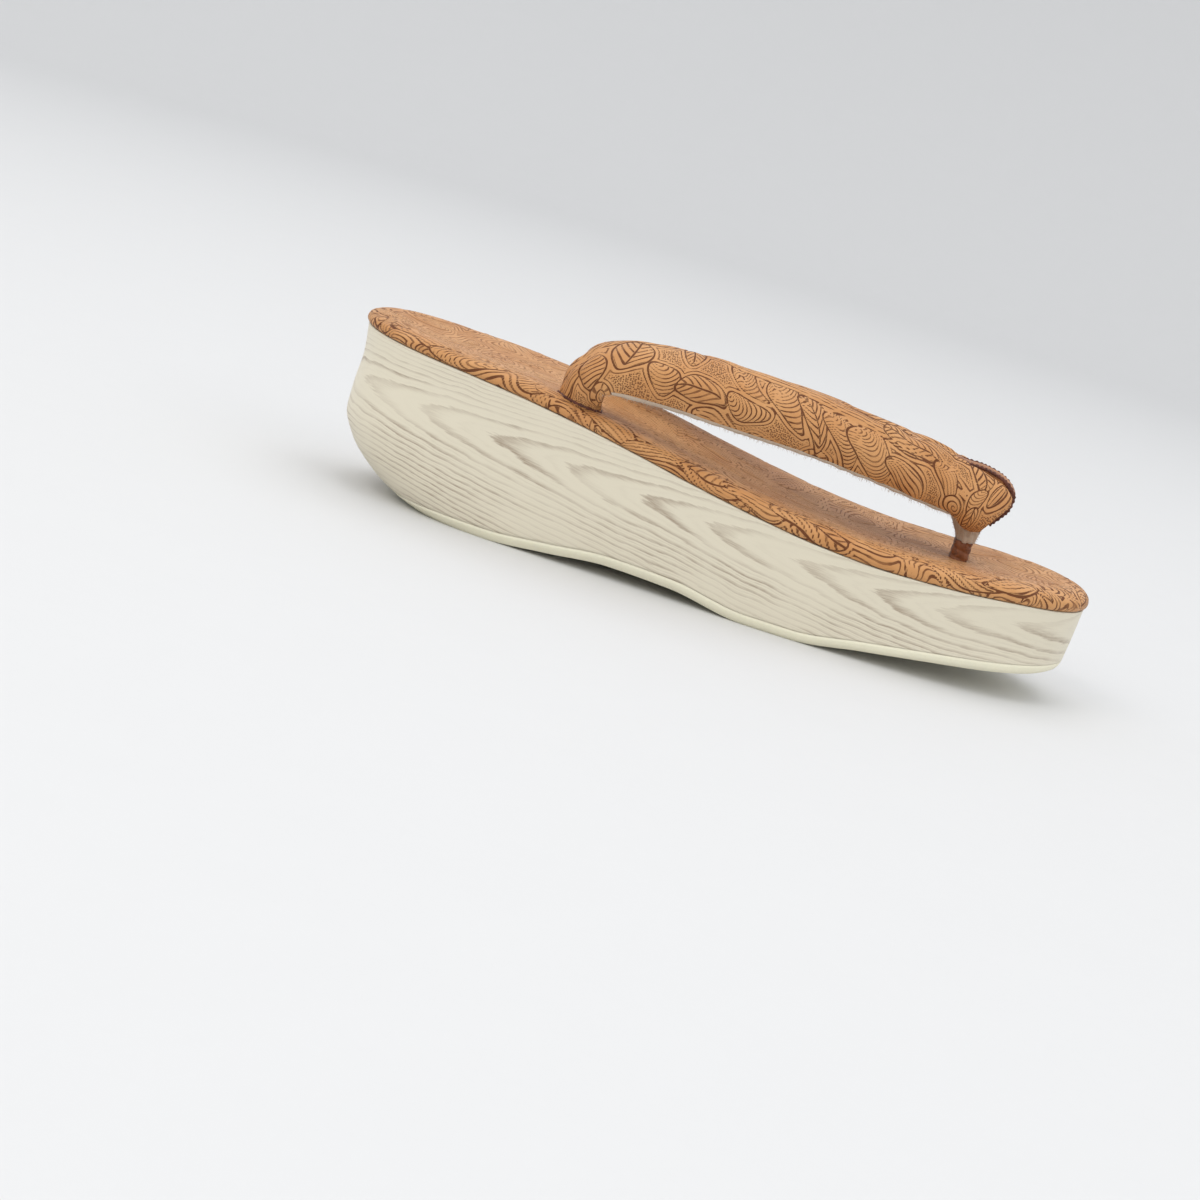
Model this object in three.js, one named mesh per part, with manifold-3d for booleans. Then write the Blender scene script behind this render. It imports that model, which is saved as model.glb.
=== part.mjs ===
// A zori sandal: outsole, wedge sole, covered insole, a padded V strap, and the toe post with its loop.
//
// Frame: millimetres, +X from heel to toe, +Y to the wearer's left, +Z up. The origin is on the floor
// under the middle of the length. The sandal is its own mirror image across the plane y = 0.
//
// In this file "along" is the distance forward of the heel's back, so x = along - LENGTH / 2.

import * as THREE from "three";
import { mergeVertices } from "three/addons/utils/BufferGeometryUtils.js";
import Module from "manifold-3d";

const wasm = await Module();
wasm.setup();

// ---- driving dimensions ----------------------------------------------------------------------------

const LENGTH = 239; // wedge sole, heel back to toe
const GAP = 0.3; // between neighbouring pieces
const OUTSOLE_THICKNESS = 3.2;
const INSOLE_THICKNESS = 3.6;
const INSOLE_PROUD = 0.8; // how far the insole's edge stands out past the sole's rim

// Half width of the rim as a sum of sines of the outline angle, which runs from 0 at the heel to 180
// degrees at the toe. The first gives the width, the third squares the ends, the rest shape the waist.
const OUTLINE_SINES = [44.4, 0.6, 6.2, 1, 1];
const OUTLINE_STEPS = 44;

// The sole's two long edges in side view: the rim under the insole, and the ground side.
const SIDE_VIEW = [
  { along: 0, rim: 50.6, ground: 0 },
  { along: 20, rim: 48.9, ground: 0 },
  { along: 40, rim: 47.3, ground: 0 },
  { along: 58, rim: 45.5, ground: 0 },
  { along: 78, rim: 42.8, ground: 1.8 },
  { along: 98, rim: 39.4, ground: 3.9 },
  { along: 117, rim: 35.9, ground: 3.4 },
  { along: 142, rim: 31.9, ground: 0 },
  { along: 156, rim: 30.2, ground: 0 },
  { along: 178, rim: 28.9, ground: 3.1 },
  { along: 198, rim: 29.2, ground: 5.8 },
  { along: 219, rim: 30.2, ground: 8.2 },
  { along: 239, rim: 30.6, ground: 10.7 },
];

// How the wall of the sole leans in from the rim (height 1) to the ground side (height 0): where the
// wall starts at the heel, how far it draws in at the toe, and the width left. The heel is undercut.
const WALL = [
  { height: 0, heel: 26.5, toe: 3.8, width: 0.895 },
  { height: 0.05, heel: 20.5, toe: 2, width: 0.93 },
  { height: 0.14, heel: 12.6, toe: 1.2, width: 0.945 },
  { height: 0.3, heel: 3.8, toe: 0.9, width: 0.955 },
  { height: 0.46, heel: 0, toe: 0.6, width: 0.965 },
  { height: 0.62, heel: 0.2, toe: 0.4, width: 0.975 },
  { height: 0.8, heel: 0.9, toe: 0.2, width: 0.987 },
  { height: 1, heel: 0, toe: 0, width: 1 },
];

// Edge of the insole: how far out past the rim, and how high above its own underside.
const INSOLE_EDGE = [
  { out: -0.2, up: 0 },
  { out: 0.5, up: 0.4 },
  { out: INSOLE_PROUD, up: 1.3 },
  { out: 0.5, up: 2.3 },
  { out: -0.6, up: 3.1 },
  { out: -2.4, up: 3.5 },
  { out: -5, up: INSOLE_THICKNESS },
];

// One arm of the strap, from its foot on the insole to the joint over the toes. "across" is the
// distance from the centre plane to the middle of the lining, "half" is half the band's width,
// "crown" and "lining" are how far the leather and the lining bulge, and "tilt" is how far the band
// leans over, in degrees.
const ARM = [
  { along: 75, across: 27.4, up: 45.6, half: 6.8, crown: 6.8, lining: 6, tilt: 16 },
  { along: 75.6, across: 28.8, up: 52.4, half: 8.8, crown: 9, lining: 4, tilt: 18 },
  { along: 79.5, across: 30.4, up: 58.7, half: 10.4, crown: 9.6, lining: 2, tilt: 21 },
  { along: 90, across: 30.6, up: 60.8, half: 10.9, crown: 9, lining: 1.2, tilt: 25 },
  { along: 106, across: 28.4, up: 61.1, half: 11, crown: 8.6, lining: 1, tilt: 30 },
  { along: 122, across: 24.8, up: 61, half: 11, crown: 8.6, lining: 1, tilt: 35 },
  { along: 141, across: 20, up: 60.6, half: 10.8, crown: 8.4, lining: 1, tilt: 39 },
  { along: 161, across: 14.4, up: 58.7, half: 10.3, crown: 8, lining: 1, tilt: 43 },
  { along: 180, across: 8.8, up: 56.2, half: 9.6, crown: 7.6, lining: 1.2, tilt: 48 },
  { along: 193, across: 5, up: 53.8, half: 8.8, crown: 7, lining: 1.6, tilt: 52 },
  { along: 200.5, across: 3.4, up: 51.6, half: 7.9, crown: 6.2, lining: 2, tilt: 55 },
  { along: 204.5, across: 2.8, up: 50.4, half: 5.4, crown: 4, lining: 2, tilt: 56 },
];
const ARM_STEPS = 34;
const ARM_SECTION_STEPS = 22;
const ARM_FULLNESS = 2.5; // exponent of the padded section's rounded side: 2 is an ellipse

// The lining drawn together under the joint, down to the post.
const NECK = [
  { up: 39.6, along: 198.4, halfLength: 3.6, halfWidth: 4.4 },
  { up: 44, along: 198.2, halfLength: 5, halfWidth: 5.2 },
  { up: 52, along: 197, halfLength: 6.2, halfWidth: 6.2 },
];

// The loop that binds the joint, in side view, from the post's front up and back over the top.
const LOOP_WIDTH = 10.2;
const LOOP_THICKNESS = 2;
const LOOP = [
  { along: 204, up: 45 },
  { along: 206, up: 49 },
  { along: 207.8, up: 53 },
  { along: 208.2, up: 56.6 },
  { along: 206, up: 60 },
  { along: 201.5, up: 62.2 },
  { along: 195, up: 63.2 },
  { along: 187.4, up: 63.2 },
];
const LOOP_STEPS = 26;
const GROOVE_REACH = 9; // how far outside the loop its groove in the strap is cleared

// The toe post, drawn from the sole up to the neck of the strap.
const POST = { along: 197.9, halfLength: 2.9, halfWidth: 4.1, corner: 2, foot: 19, top: NECK[0].up - GAP };

// Holes for the strap's tails and the post, and how deep they go into the sole.
const TAIL = { along: 75.5, across: 27.5, radius: 4.6, foot: 30 };
const SOCKET_CLEARANCE = 1; // under the tails and the post
const ROUND_STEPS = 20;

// ---- small tools -----------------------------------------------------------------------------------

/** Value of a table's column at a key, by cubic pieces whose slopes never overshoot. */
function columnAt(table, key, column, at) {
  const last = table.length - 1;
  const clamped = Math.min(Math.max(at, table[0][key]), table[last][key]);
  let row = 0;
  while (row < last - 1 && table[row + 1][key] < clamped) row += 1;
  const run = (i) => table[i + 1][key] - table[i][key];
  const slope = (i) => (table[i + 1][column] - table[i][column]) / run(i);
  const tangent = (i) => {
    if (i === 0) return slope(0);
    if (i === last) return slope(last - 1);
    const before = slope(i - 1);
    const after = slope(i);
    return before * after <= 0 ? 0 : (2 * before * after) / (before + after);
  };
  const t = (clamped - table[row][key]) / run(row);
  const rise = 3 * t * t - 2 * t * t * t;
  return (
    table[row][column] * (1 - rise) +
    table[row + 1][column] * rise +
    run(row) * (tangent(row) * t * (1 - t) * (1 - t) - tangent(row + 1) * t * t * (1 - t))
  );
}

/** A closed solid from rings of points, all alike in number, with flat or fanned ends. */
function loft(rings, capStart, capEnd) {
  const positions = rings.flat().flatMap((point) => point.toArray());
  const count = rings[0].length;
  const faces = [];
  for (let ring = 0; ring < rings.length - 1; ring += 1) {
    for (let i = 0; i < count; i += 1) {
      const next = (i + 1) % count;
      const low = ring * count;
      const high = low + count;
      faces.push(low + i, low + next, high + next, low + i, high + next, high + i);
    }
  }
  const top = (rings.length - 1) * count;
  capStart(count).forEach(([a, b, c]) => faces.push(a, c, b));
  capEnd(count).forEach(([a, b, c]) => faces.push(top + a, top + b, top + c));
  return solidOf(positions, faces);
}

/** Triangles that close a ring by a fan from its first point. */
function fanCap(count) {
  return Array.from({ length: count - 2 }, (_, i) => [0, i + 1, i + 2]);
}

/** Triangles that close a mirrored outline by strips straight across, so that each strip is flat. */
function stripCap(count) {
  const faces = [[0, 1, count - 1]];
  for (let i = 1; i < count / 2 - 1; i += 1) {
    faces.push([i, i + 1, count - i - 1], [i, count - i - 1, count - i]);
  }
  faces.push([count / 2 - 1, count / 2, count / 2 + 1]);
  return faces;
}

/** A manifold solid from vertex numbers and triangles, turned right side out. */
function solidOf(positions, faces) {
  const geometry = new THREE.BufferGeometry();
  geometry.setAttribute("position", new THREE.Float32BufferAttribute(positions, 3));
  geometry.setIndex(faces);
  return solidFrom(geometry);
}

/** A manifold solid from a three.js geometry. */
function solidFrom(geometry) {
  const bare = geometry.clone();
  bare.deleteAttribute("normal");
  bare.deleteAttribute("uv");
  const merged = mergeVertices(bare, 1e-4);
  const mesh = new wasm.Mesh({
    numProp: 3,
    vertProperties: new Float32Array(merged.attributes.position.array),
    triVerts: new Uint32Array(merged.index.array),
  });
  mesh.merge();
  return new wasm.Manifold(mesh);
}

/** The three.js geometry of a manifold solid. */
function geometryOf(solid) {
  const mesh = solid.getMesh();
  const geometry = new THREE.BufferGeometry();
  geometry.setAttribute("position", new THREE.BufferAttribute(mesh.vertProperties, mesh.numProp));
  geometry.setIndex(new THREE.BufferAttribute(mesh.triVerts, 1));
  return geometry;
}

/** A point of the frame from its distance along the sole. */
function point(along, y, z) {
  return new THREE.Vector3(along - LENGTH / 2, y, z);
}

/** An upright round rod. */
function rod(along, y, radius, bottom, top) {
  const geometry = new THREE.CylinderGeometry(radius, radius, top - bottom, ROUND_STEPS);
  geometry.rotateX(Math.PI / 2);
  geometry.translate(along - LENGTH / 2, y, (top + bottom) / 2);
  return solidFrom(geometry);
}

/** An upright bar with rounded corners, grown by a margin. */
function postBar(margin, bottom, top) {
  const halfLength = POST.halfLength + margin;
  const halfWidth = POST.halfWidth + margin;
  const corner = POST.corner + margin;
  const shape = new THREE.Shape();
  shape.moveTo(-halfLength + corner, -halfWidth);
  shape.lineTo(halfLength - corner, -halfWidth);
  shape.absarc(halfLength - corner, -halfWidth + corner, corner, -Math.PI / 2, 0);
  shape.lineTo(halfLength, halfWidth - corner);
  shape.absarc(halfLength - corner, halfWidth - corner, corner, 0, Math.PI / 2);
  shape.lineTo(-halfLength + corner, halfWidth);
  shape.absarc(-halfLength + corner, halfWidth - corner, corner, Math.PI / 2, Math.PI);
  shape.lineTo(-halfLength, -halfWidth + corner);
  shape.absarc(-halfLength + corner, -halfWidth + corner, corner, Math.PI, 1.5 * Math.PI);
  const geometry = new THREE.ExtrudeGeometry(shape, {
    depth: top - bottom,
    bevelEnabled: false,
    curveSegments: 5,
  });
  geometry.translate(POST.along - LENGTH / 2, 0, bottom);
  return solidFrom(geometry);
}

// ---- sole ------------------------------------------------------------------------------------------

/** Half width of the rim at an outline angle. */
function rimHalfWidth(angle) {
  return OUTLINE_SINES.reduce((sum, size, i) => sum + size * Math.sin((i + 1) * angle), 0);
}

const rimHeight = (along) => columnAt(SIDE_VIEW, "along", "rim", along);
const groundHeight = (along) => columnAt(SIDE_VIEW, "along", "ground", along);

/** Distance along the sole of an outline angle, at a height on the wall from 0 to 1. */
function wallAlong(angle, height) {
  const heel = columnAt(WALL, "height", "heel", height);
  const toe = LENGTH - columnAt(WALL, "height", "toe", height);
  return heel + ((toe - heel) * (1 - Math.cos(angle))) / 2;
}

/** Height on the wall, 0 to 1, of a ring that lies a distance above the ground side. */
function heightAbove(angle, distance) {
  let height = 0;
  for (let pass = 0; pass < 6; pass += 1) {
    const along = wallAlong(angle, height);
    height = distance / (rimHeight(along) - groundHeight(along));
  }
  return height;
}

/** The angles of a closed outline, heel to toe on one side and back on the other. */
function outlineAngles() {
  const side = Array.from({ length: OUTLINE_STEPS + 1 }, (_, i) => (Math.PI * i) / OUTLINE_STEPS);
  const back = side.slice(1, -1).reverse();
  return [...side.map((angle) => ({ angle, sign: -1 })), ...back.map((angle) => ({ angle, sign: 1 }))];
}

/** A ring on the wall of the sole, at the height that a function of the angle gives. */
function wallRing(heightOf) {
  return outlineAngles().map(({ angle, sign }) => {
    const height = heightOf(angle);
    const along = wallAlong(angle, height);
    const width = columnAt(WALL, "height", "width", height);
    const z = groundHeight(along) + height * (rimHeight(along) - groundHeight(along));
    return point(along, sign * rimHalfWidth(angle) * width, z);
  });
}

/** The thin outsole, from the ground side up. */
function makeOutsole() {
  const rings = [0, 0.4, 1.1, 2.1, OUTSOLE_THICKNESS].map((distance) =>
    wallRing((angle) => heightAbove(angle, distance)),
  );
  return loft(rings, stripCap, stripCap);
}

/** The wedge sole over it, with blind sockets for the strap's tails and the post. */
function makeSoleBody(sockets) {
  const foot = (angle) => heightAbove(angle, OUTSOLE_THICKNESS + GAP);
  const rings = [0, 0.1, 0.22, 0.36, 0.52, 0.7, 0.86, 1].map((part) =>
    wallRing((angle) => foot(angle) + (1 - foot(angle)) * part),
  );
  return sockets.reduce((body, socket) => body.subtract(socket), loft(rings, stripCap, stripCap));
}

/** The covered insole's solid without its holes, lifted by a margin. */
function insoleBlank(margin) {
  const rings = INSOLE_EDGE.map(({ out, up }) =>
    outlineAngles().map(({ angle, sign }) => {
      const grow = 1 + (2 * out) / LENGTH;
      const along = LENGTH / 2 - ((LENGTH * grow) / 2) * Math.cos(angle);
      const y = sign * rimHalfWidth(angle) * (1 + out / OUTLINE_SINES[0]);
      return point(along, y, rimHeight(along) + GAP + margin + up);
    }),
  );
  return loft(rings, stripCap, stripCap);
}

/** The covered insole, following the rim, with a soft rounded edge. */
function makeInsole(sockets) {
  return sockets.reduce((body, socket) => body.subtract(socket), insoleBlank(0));
}

// ---- strap -----------------------------------------------------------------------------------------

/** One arm on the side that sign gives: a padded band swept along the table's rows. */
function makeArm(sign) {
  const path = new THREE.CatmullRomCurve3(
    ARM.map(({ along, across, up }) => point(along, across, up)),
    false,
    "centripetal",
  );
  const first = ARM[0];
  const last = ARM[ARM.length - 1];
  const outward = new THREE.Vector3(first.across - last.across, last.along - first.along, 0).normalize();
  const rows = ARM.map((row, i) => ({ ...row, index: i }));
  const rings = [];
  for (let step = 0; step <= ARM_STEPS; step += 1) {
    const at = step / ARM_STEPS;
    const index = at * (ARM.length - 1);
    const size = (column) => columnAt(rows, "index", column, index);
    const tangent = path.getTangent(at);
    const over = tangent.clone().cross(outward).normalize();
    const side = over.clone().cross(tangent).normalize();
    const tilt = THREE.MathUtils.degToRad(size("tilt"));
    const chord = side.clone().multiplyScalar(Math.cos(tilt)).addScaledVector(over, -Math.sin(tilt));
    const face = side.clone().multiplyScalar(Math.sin(tilt)).addScaledVector(over, Math.cos(tilt));
    const centre = path.getPoint(at);
    rings.push(armSection(size("half"), size("crown"), size("lining")).map(([across, up]) => {
      const place = centre.clone().addScaledVector(chord, across).addScaledVector(face, up);
      return place.setY(place.y * sign);
    }));
  }
  const closed = sign > 0 ? rings : rings.map((ring) => [...ring].reverse());
  return loft(closed, fanCap, fanCap);
}

/** The band's section: a full, rounded leather side over a flatter lining side. */
function armSection(half, crown, lining) {
  return Array.from({ length: ARM_SECTION_STEPS }, (_, i) => {
    const angle = (2 * Math.PI * i) / ARM_SECTION_STEPS;
    const power = 2 / ARM_FULLNESS;
    const across = half * Math.sign(Math.cos(angle)) * Math.abs(Math.cos(angle)) ** power;
    const rise = Math.abs(Math.sin(angle)) ** power;
    return [across, Math.sin(angle) > 0 ? crown * rise : -lining * rise];
  });
}

/** The drawn-together lining under the joint. */
function makeNeck() {
  const rings = NECK.map(({ up, along, halfLength, halfWidth }) =>
    Array.from({ length: ROUND_STEPS }, (_, i) => {
      const angle = (2 * Math.PI * i) / ROUND_STEPS;
      return point(along + halfLength * Math.cos(angle), halfWidth * Math.sin(angle), up);
    }),
  );
  return loft(rings, fanCap, fanCap);
}

/** A band in side view between two offsets from the loop's outer line, run across the sandal. */
function loopBand(inner, outer, width) {
  const line = new THREE.CatmullRomCurve3(LOOP.map(({ along, up }) => point(along, 0, up)));
  const offset = (at, distance) => {
    const place = line.getPoint(at);
    const tangent = line.getTangent(at);
    return new THREE.Vector2(place.x + tangent.z * distance, place.z - tangent.x * distance);
  };
  const steps = Array.from({ length: LOOP_STEPS + 1 }, (_, i) => i / LOOP_STEPS);
  const outline = [
    ...steps.map((at) => offset(at, outer)),
    ...[...steps].reverse().map((at) => offset(at, -inner)),
  ];
  const geometry = new THREE.ExtrudeGeometry(new THREE.Shape(outline), { depth: width, bevelEnabled: false });
  geometry.rotateX(Math.PI / 2);
  geometry.translate(0, width / 2, 0);
  return solidFrom(geometry);
}

/** The padded strap: two arms and the neck in one, grooved for the loop, with a tail in each hole. */
function makeStrap() {
  const groove = loopBand(LOOP_THICKNESS + GAP, GROOVE_REACH, LOOP_WIDTH + 2 * GAP);
  const arms = makeArm(1).add(makeArm(-1)).add(makeNeck());
  const band = arms.subtract(groove).subtract(insoleBlank(GAP));
  const tails = [1, -1].map((sign) =>
    rod(TAIL.along, sign * TAIL.across, TAIL.radius, TAIL.foot, ARM[1].up),
  );
  return tails.reduce((strap, tail) => strap.add(tail), band);
}

// ---- assembly --------------------------------------------------------------------------------------

const holeTop = 70; // above the insole, so that every hole opens upwards
const tailHoles = [1, -1].map((sign) =>
  rod(TAIL.along, sign * TAIL.across, TAIL.radius + GAP, TAIL.foot - SOCKET_CLEARANCE, holeTop),
);
const holes = [...tailHoles, postBar(GAP, POST.foot - SOCKET_CLEARANCE, holeTop)];

const LOOKS = {
  outsole: { color: 0xded7b9, roughness: 0.6, metalness: 0 },
  sole_body: { color: 0xdcd5c3, roughness: 0.5, metalness: 0 },
  insole: { color: 0xc8935f, roughness: 0.55, metalness: 0 },
  strap: { color: 0xcd9a63, roughness: 0.55, metalness: 0 },
  toe_loop: { color: 0xbf8350, roughness: 0.55, metalness: 0 },
  toe_post: { color: 0x6b3a22, roughness: 0.6, metalness: 0 },
};

const solids = {
  outsole: makeOutsole(),
  sole_body: makeSoleBody(holes),
  insole: makeInsole(holes),
  strap: makeStrap(),
  toe_loop: loopBand(LOOP_THICKNESS, 0, LOOP_WIDTH),
  toe_post: postBar(0, POST.foot, POST.top),
};

const sandal = new THREE.Group();
for (const [name, solid] of Object.entries(solids)) {
  const mesh = new THREE.Mesh(geometryOf(solid), new THREE.MeshStandardMaterial(LOOKS[name]));
  mesh.name = name;
  sandal.add(mesh);
}

export default sandal;
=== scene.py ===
"""A zori sandal: tooled leather strap and footbed on a wedge sole with a printed wood-grain cover.

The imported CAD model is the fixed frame. Each visible piece is a surface worked out with numpy in
millimetres, +X to the toe and +Z up, and put into its mesh in metres. "along" is the distance
forward of the heel's back. Every piece rides on the frame's one body.
"""

import math

import bmesh
import bpy
import numpy as np
from mathutils import Matrix


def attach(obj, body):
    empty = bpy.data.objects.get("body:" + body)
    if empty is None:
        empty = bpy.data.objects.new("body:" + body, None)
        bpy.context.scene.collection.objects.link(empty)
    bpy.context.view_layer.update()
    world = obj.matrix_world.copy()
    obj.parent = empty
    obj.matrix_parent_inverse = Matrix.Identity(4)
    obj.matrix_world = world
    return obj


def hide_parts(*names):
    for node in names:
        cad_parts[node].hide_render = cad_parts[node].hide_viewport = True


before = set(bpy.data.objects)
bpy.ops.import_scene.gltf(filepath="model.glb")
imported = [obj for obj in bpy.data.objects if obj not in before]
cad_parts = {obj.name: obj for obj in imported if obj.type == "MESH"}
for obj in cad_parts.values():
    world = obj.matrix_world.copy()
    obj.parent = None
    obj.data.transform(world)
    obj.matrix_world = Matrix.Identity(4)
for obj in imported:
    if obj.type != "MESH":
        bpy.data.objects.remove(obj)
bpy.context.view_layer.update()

bl_info = {
    "name": "Zori Sandal",
    "version": (1, 0, 0),
    "blender": (4, 5, 0),
    "location": "View3D > Sidebar > Sandal",
    "description": "Builds a tooled leather zori sandal round its CAD frame",
    "category": "Add Mesh",
}

MM = 0.001  # metres in a millimetre
BODY = "root"

# ---- sizes of the sandal, in millimetres -------------------------------------------------------------

LENGTH = 239.0
OUTSOLE_THICKNESS = 3.2
SHEET_GAP = 0.06  # between the outsole and the wedge
COVER_GAP = 0.3  # between the sole's top and the insole
OUTLINE_SINES = (44.4, 0.6, 6.2, 1.0, 1.0)  # half width of the rim, by sines of the outline angle

# along, rim under the insole, ground side
SIDE_VIEW = np.array([
    (0, 50.6, 0), (20, 48.9, 0), (40, 47.3, 0), (58, 45.5, 0), (78, 42.8, 1.8), (98, 39.4, 3.9),
    (117, 35.9, 3.4), (142, 31.9, 0), (156, 30.2, 0), (178, 28.9, 3.1), (198, 29.2, 5.8),
    (219, 30.2, 8.2), (239, 30.6, 10.7),
], float)

# height on the wall, where it starts at the heel, how far it draws in at the toe, width left
WALL = np.array([
    (0, 26.5, 3.8, 0.895), (0.05, 20.5, 2, 0.93), (0.14, 12.6, 1.2, 0.945), (0.3, 3.8, 0.9, 0.955),
    (0.46, 0, 0.6, 0.965), (0.62, 0.2, 0.4, 0.975), (0.8, 0.9, 0.2, 0.987), (1, 0, 0, 1),
], float)

# the insole's rolled edge: how far out past the rim, how high above its underside
INSOLE_EDGE = np.array([
    (-0.2, 0), (0.4, 0.4), (0.8, 1.5), (0.5, 2.9), (-0.7, 4.1), (-2.8, 5.0), (-5.6, 5.45), (-9, 5.5),
], float)
INSOLE_DISH = 1.5  # how far the footbed's middle lies below its rolled edge
HEEL_THINNING = 0.26  # share of the rolled edge's height that is missing at the back of the heel

# one arm of the strap: along, across, up, half width, crown, lining bulge, tilt in degrees
ARM = np.array([
    (75.4, 27.4, 45.6, 7.2, 6.6, 6, 16), (76.6, 28.8, 52.2, 8.8, 7.8, 4, 18),
    (80.6, 30.4, 58.2, 10.3, 8.6, 2, 21), (90, 30.6, 60.3, 10.9, 8.6, 1.2, 25),
    (106, 28.4, 61.1, 11, 8.6, 1, 30), (122, 24.8, 61, 11, 8.6, 1, 35),
    (141, 20, 60.6, 10.8, 8.4, 1, 39), (161, 14.4, 58.7, 10.3, 8, 1, 43),
    (180, 8.8, 56.2, 9.7, 7.9, 1.2, 48), (193, 5.2, 53.9, 9.2, 8, 1.6, 51),
    (200.5, 3.9, 52, 9.5, 8, 2, 53), (204.5, 3.4, 51.2, 9.3, 7.2, 2, 54),
    (207, 3, 50.6, 8, 5.8, 2, 54),
], float)
# how far the near arm swells and the far arm sinks from the even shape: along, swell, sink
ARM_SETTLE = np.array([
    (75, 0, 0), (80, 0.5, 2.2), (94, 2, 3.6), (110, 2.3, 3.5), (125, 1.6, 3.4), (145, 0.8, 2.6),
    (160, 0.6, 2), (180, 0.3, 0.6), (200, 0, 0), (207, 0, 0),
], float)
ARM_FULLNESS = 2.5  # exponent of the padded section's rounded side: 2 is an ellipse

# the loop's outer line in side view: along, up
LOOP = np.array([
    (203.6, 46.6), (205.8, 49.6), (207.8, 53), (208.2, 56.6), (206, 60), (201.5, 62.2), (195, 63.2),
    (187.4, 63.2),
], float)
LOOP_THICKNESS = 2.0
LOOP_HUB = (196.0, 52.0)  # along and up of the point that the loop turns round

# the fleece neck under the joint: up, along, half length, half width
NECK = np.array([
    (38.9, 198.2, 2.5, 3.6), (39.6, 198.2, 3.0, 4.2), (41.4, 198.0, 3.5, 4.6), (43.6, 197.4, 4.3, 5.0),
    (47, 196.6, 5.4, 5.6), (52, 196, 6.2, 6.2),
], float)
POST = {"along": 197.9, "length": 2.9, "width": 4.1, "foot": 24.0, "top": 39.4}
FOOT_HOLE = {"along": 75.5, "across": 27.5}

# ---- how finely the surfaces are divided, and how many fibres there are ------------------------------

SOLE_ROWS = 300
WALL_LEVELS = 44
FLAT_STEPS = 24
FOOTBED_ROWS = 460
FOOTBED_EDGE_STEPS = 26
FOOTBED_TOP_STEPS = 128
FOOTBED_UNDER_STEPS = 8
ARM_ROWS = 420
ARM_COLUMNS = 160
LINING_ROWS = 220
LINING_COLUMNS = 30
NECK_ROWS = 40
NECK_COLUMNS = 65
STRIP_FIBRES = 1700
NECK_FIBRES = 500

# ---- sizes and colours that a user would change ------------------------------------------------------


def length_setting(name, description, default):
    """A length property in metres."""
    return bpy.props.FloatProperty(
        name=name, description=description, default=default, min=0, unit="LENGTH", precision=5
    )


def colour_setting(name, description, default):
    """A colour property, as linear red, green and blue."""
    return bpy.props.FloatVectorProperty(
        name=name, description=description, default=default, subtype="COLOR", size=3, min=0, max=1
    )


class SandalSizes(bpy.types.PropertyGroup):
    """Sizes of the tooling, the print, the loop and the fleece."""

    line_pitch: length_setting("Line pitch", "Distance between tooled lines on the strap", 0.00128)
    footbed_pitch: length_setting("Footbed pitch", "Distance between tooled lines underfoot", 0.0015)
    echo_reach: length_setting("Echo reach", "How far lines follow a motif's outline", 0.0019)
    relief: length_setting("Relief", "How far the tooled motifs stand up", 0.00028)
    dot_pitch: length_setting("Dot pitch", "Distance between the ground's punched dots", 0.00064)
    grain_pitch: length_setting("Grain pitch", "Distance between the print's arches", 0.0245)
    loop_width: length_setting("Loop width", "Width of the toe loop", 0.0102)
    fleece_length: length_setting("Fleece length", "Length of the lining's loose fibres", 0.0010)


class SandalColours(bpy.types.PropertyGroup):
    """Colours of the leather, the print, the outsole and the lining."""

    leather: colour_setting("Leather", "Raised face of the leather", (0.52, 0.235, 0.080))
    leather_pale: colour_setting("Pale leather", "Where the leather is rubbed pale", (0.60, 0.305, 0.120))
    tooling: colour_setting("Tooling", "Dark dye in the tooled lines", (0.115, 0.030, 0.006))
    loop_leather: colour_setting("Loop leather", "Redder leather of loop and post", (0.27, 0.088, 0.028))
    # The cut edge colour also dresses the thin dark ring at each arm's foot, a painted shadow of the gap
    # between arm and footbed.
    cut_edge_and_shadow: colour_setting("Cut edge", "Raw edges of the leather", (0.11, 0.030, 0.014))
    cover: colour_setting("Sole cover", "Ground colour of the printed cover", (0.74, 0.68, 0.54))
    print_ink: colour_setting("Print ink", "Wood-grain print", (0.35, 0.27, 0.195))
    outsole: colour_setting("Outsole", "Outsole sheet", (0.89, 0.845, 0.66))
    fleece: colour_setting("Fleece", "Lining of the strap", (0.50, 0.39, 0.29))
    floor: colour_setting("Floor", "Floor and backdrop", (0.69, 0.69, 0.693))


# ---- curves and fields -------------------------------------------------------------------------------


def smooth_curve(knots, values, at):
    """Value at each place of the cubic through the knots that never overshoots: the slope at a knot
    is the harmonic mean of the slopes beside it, or zero where they differ in sign."""
    at = np.clip(at, knots[0], knots[-1])
    run = np.diff(knots)
    slope = np.diff(values) / run
    total = slope[:-1] + slope[1:]
    same_way = slope[:-1] * slope[1:] > 0
    mean = 2 * slope[:-1] * slope[1:] / np.where(same_way, total, 1)
    tangent = np.concatenate([slope[:1], np.where(same_way, mean, 0), slope[-1:]])
    row = np.clip(np.searchsorted(knots, at, side="right") - 1, 0, len(run) - 1)
    t = (at - knots[row]) / run[row]
    ease = 3 * t * t - 2 * t**3
    bow = run[row] * (tangent[row] * t * (1 - t) ** 2 - tangent[row + 1] * t * t * (1 - t))
    return values[row] * (1 - ease) + values[row + 1] * ease + bow


def step_between(low, high, value):
    """0 below low, 1 above high, with a smooth S between."""
    t = np.clip((value - low) / (high - low), 0, 1)
    return t * t * (3 - 2 * t)


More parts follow.
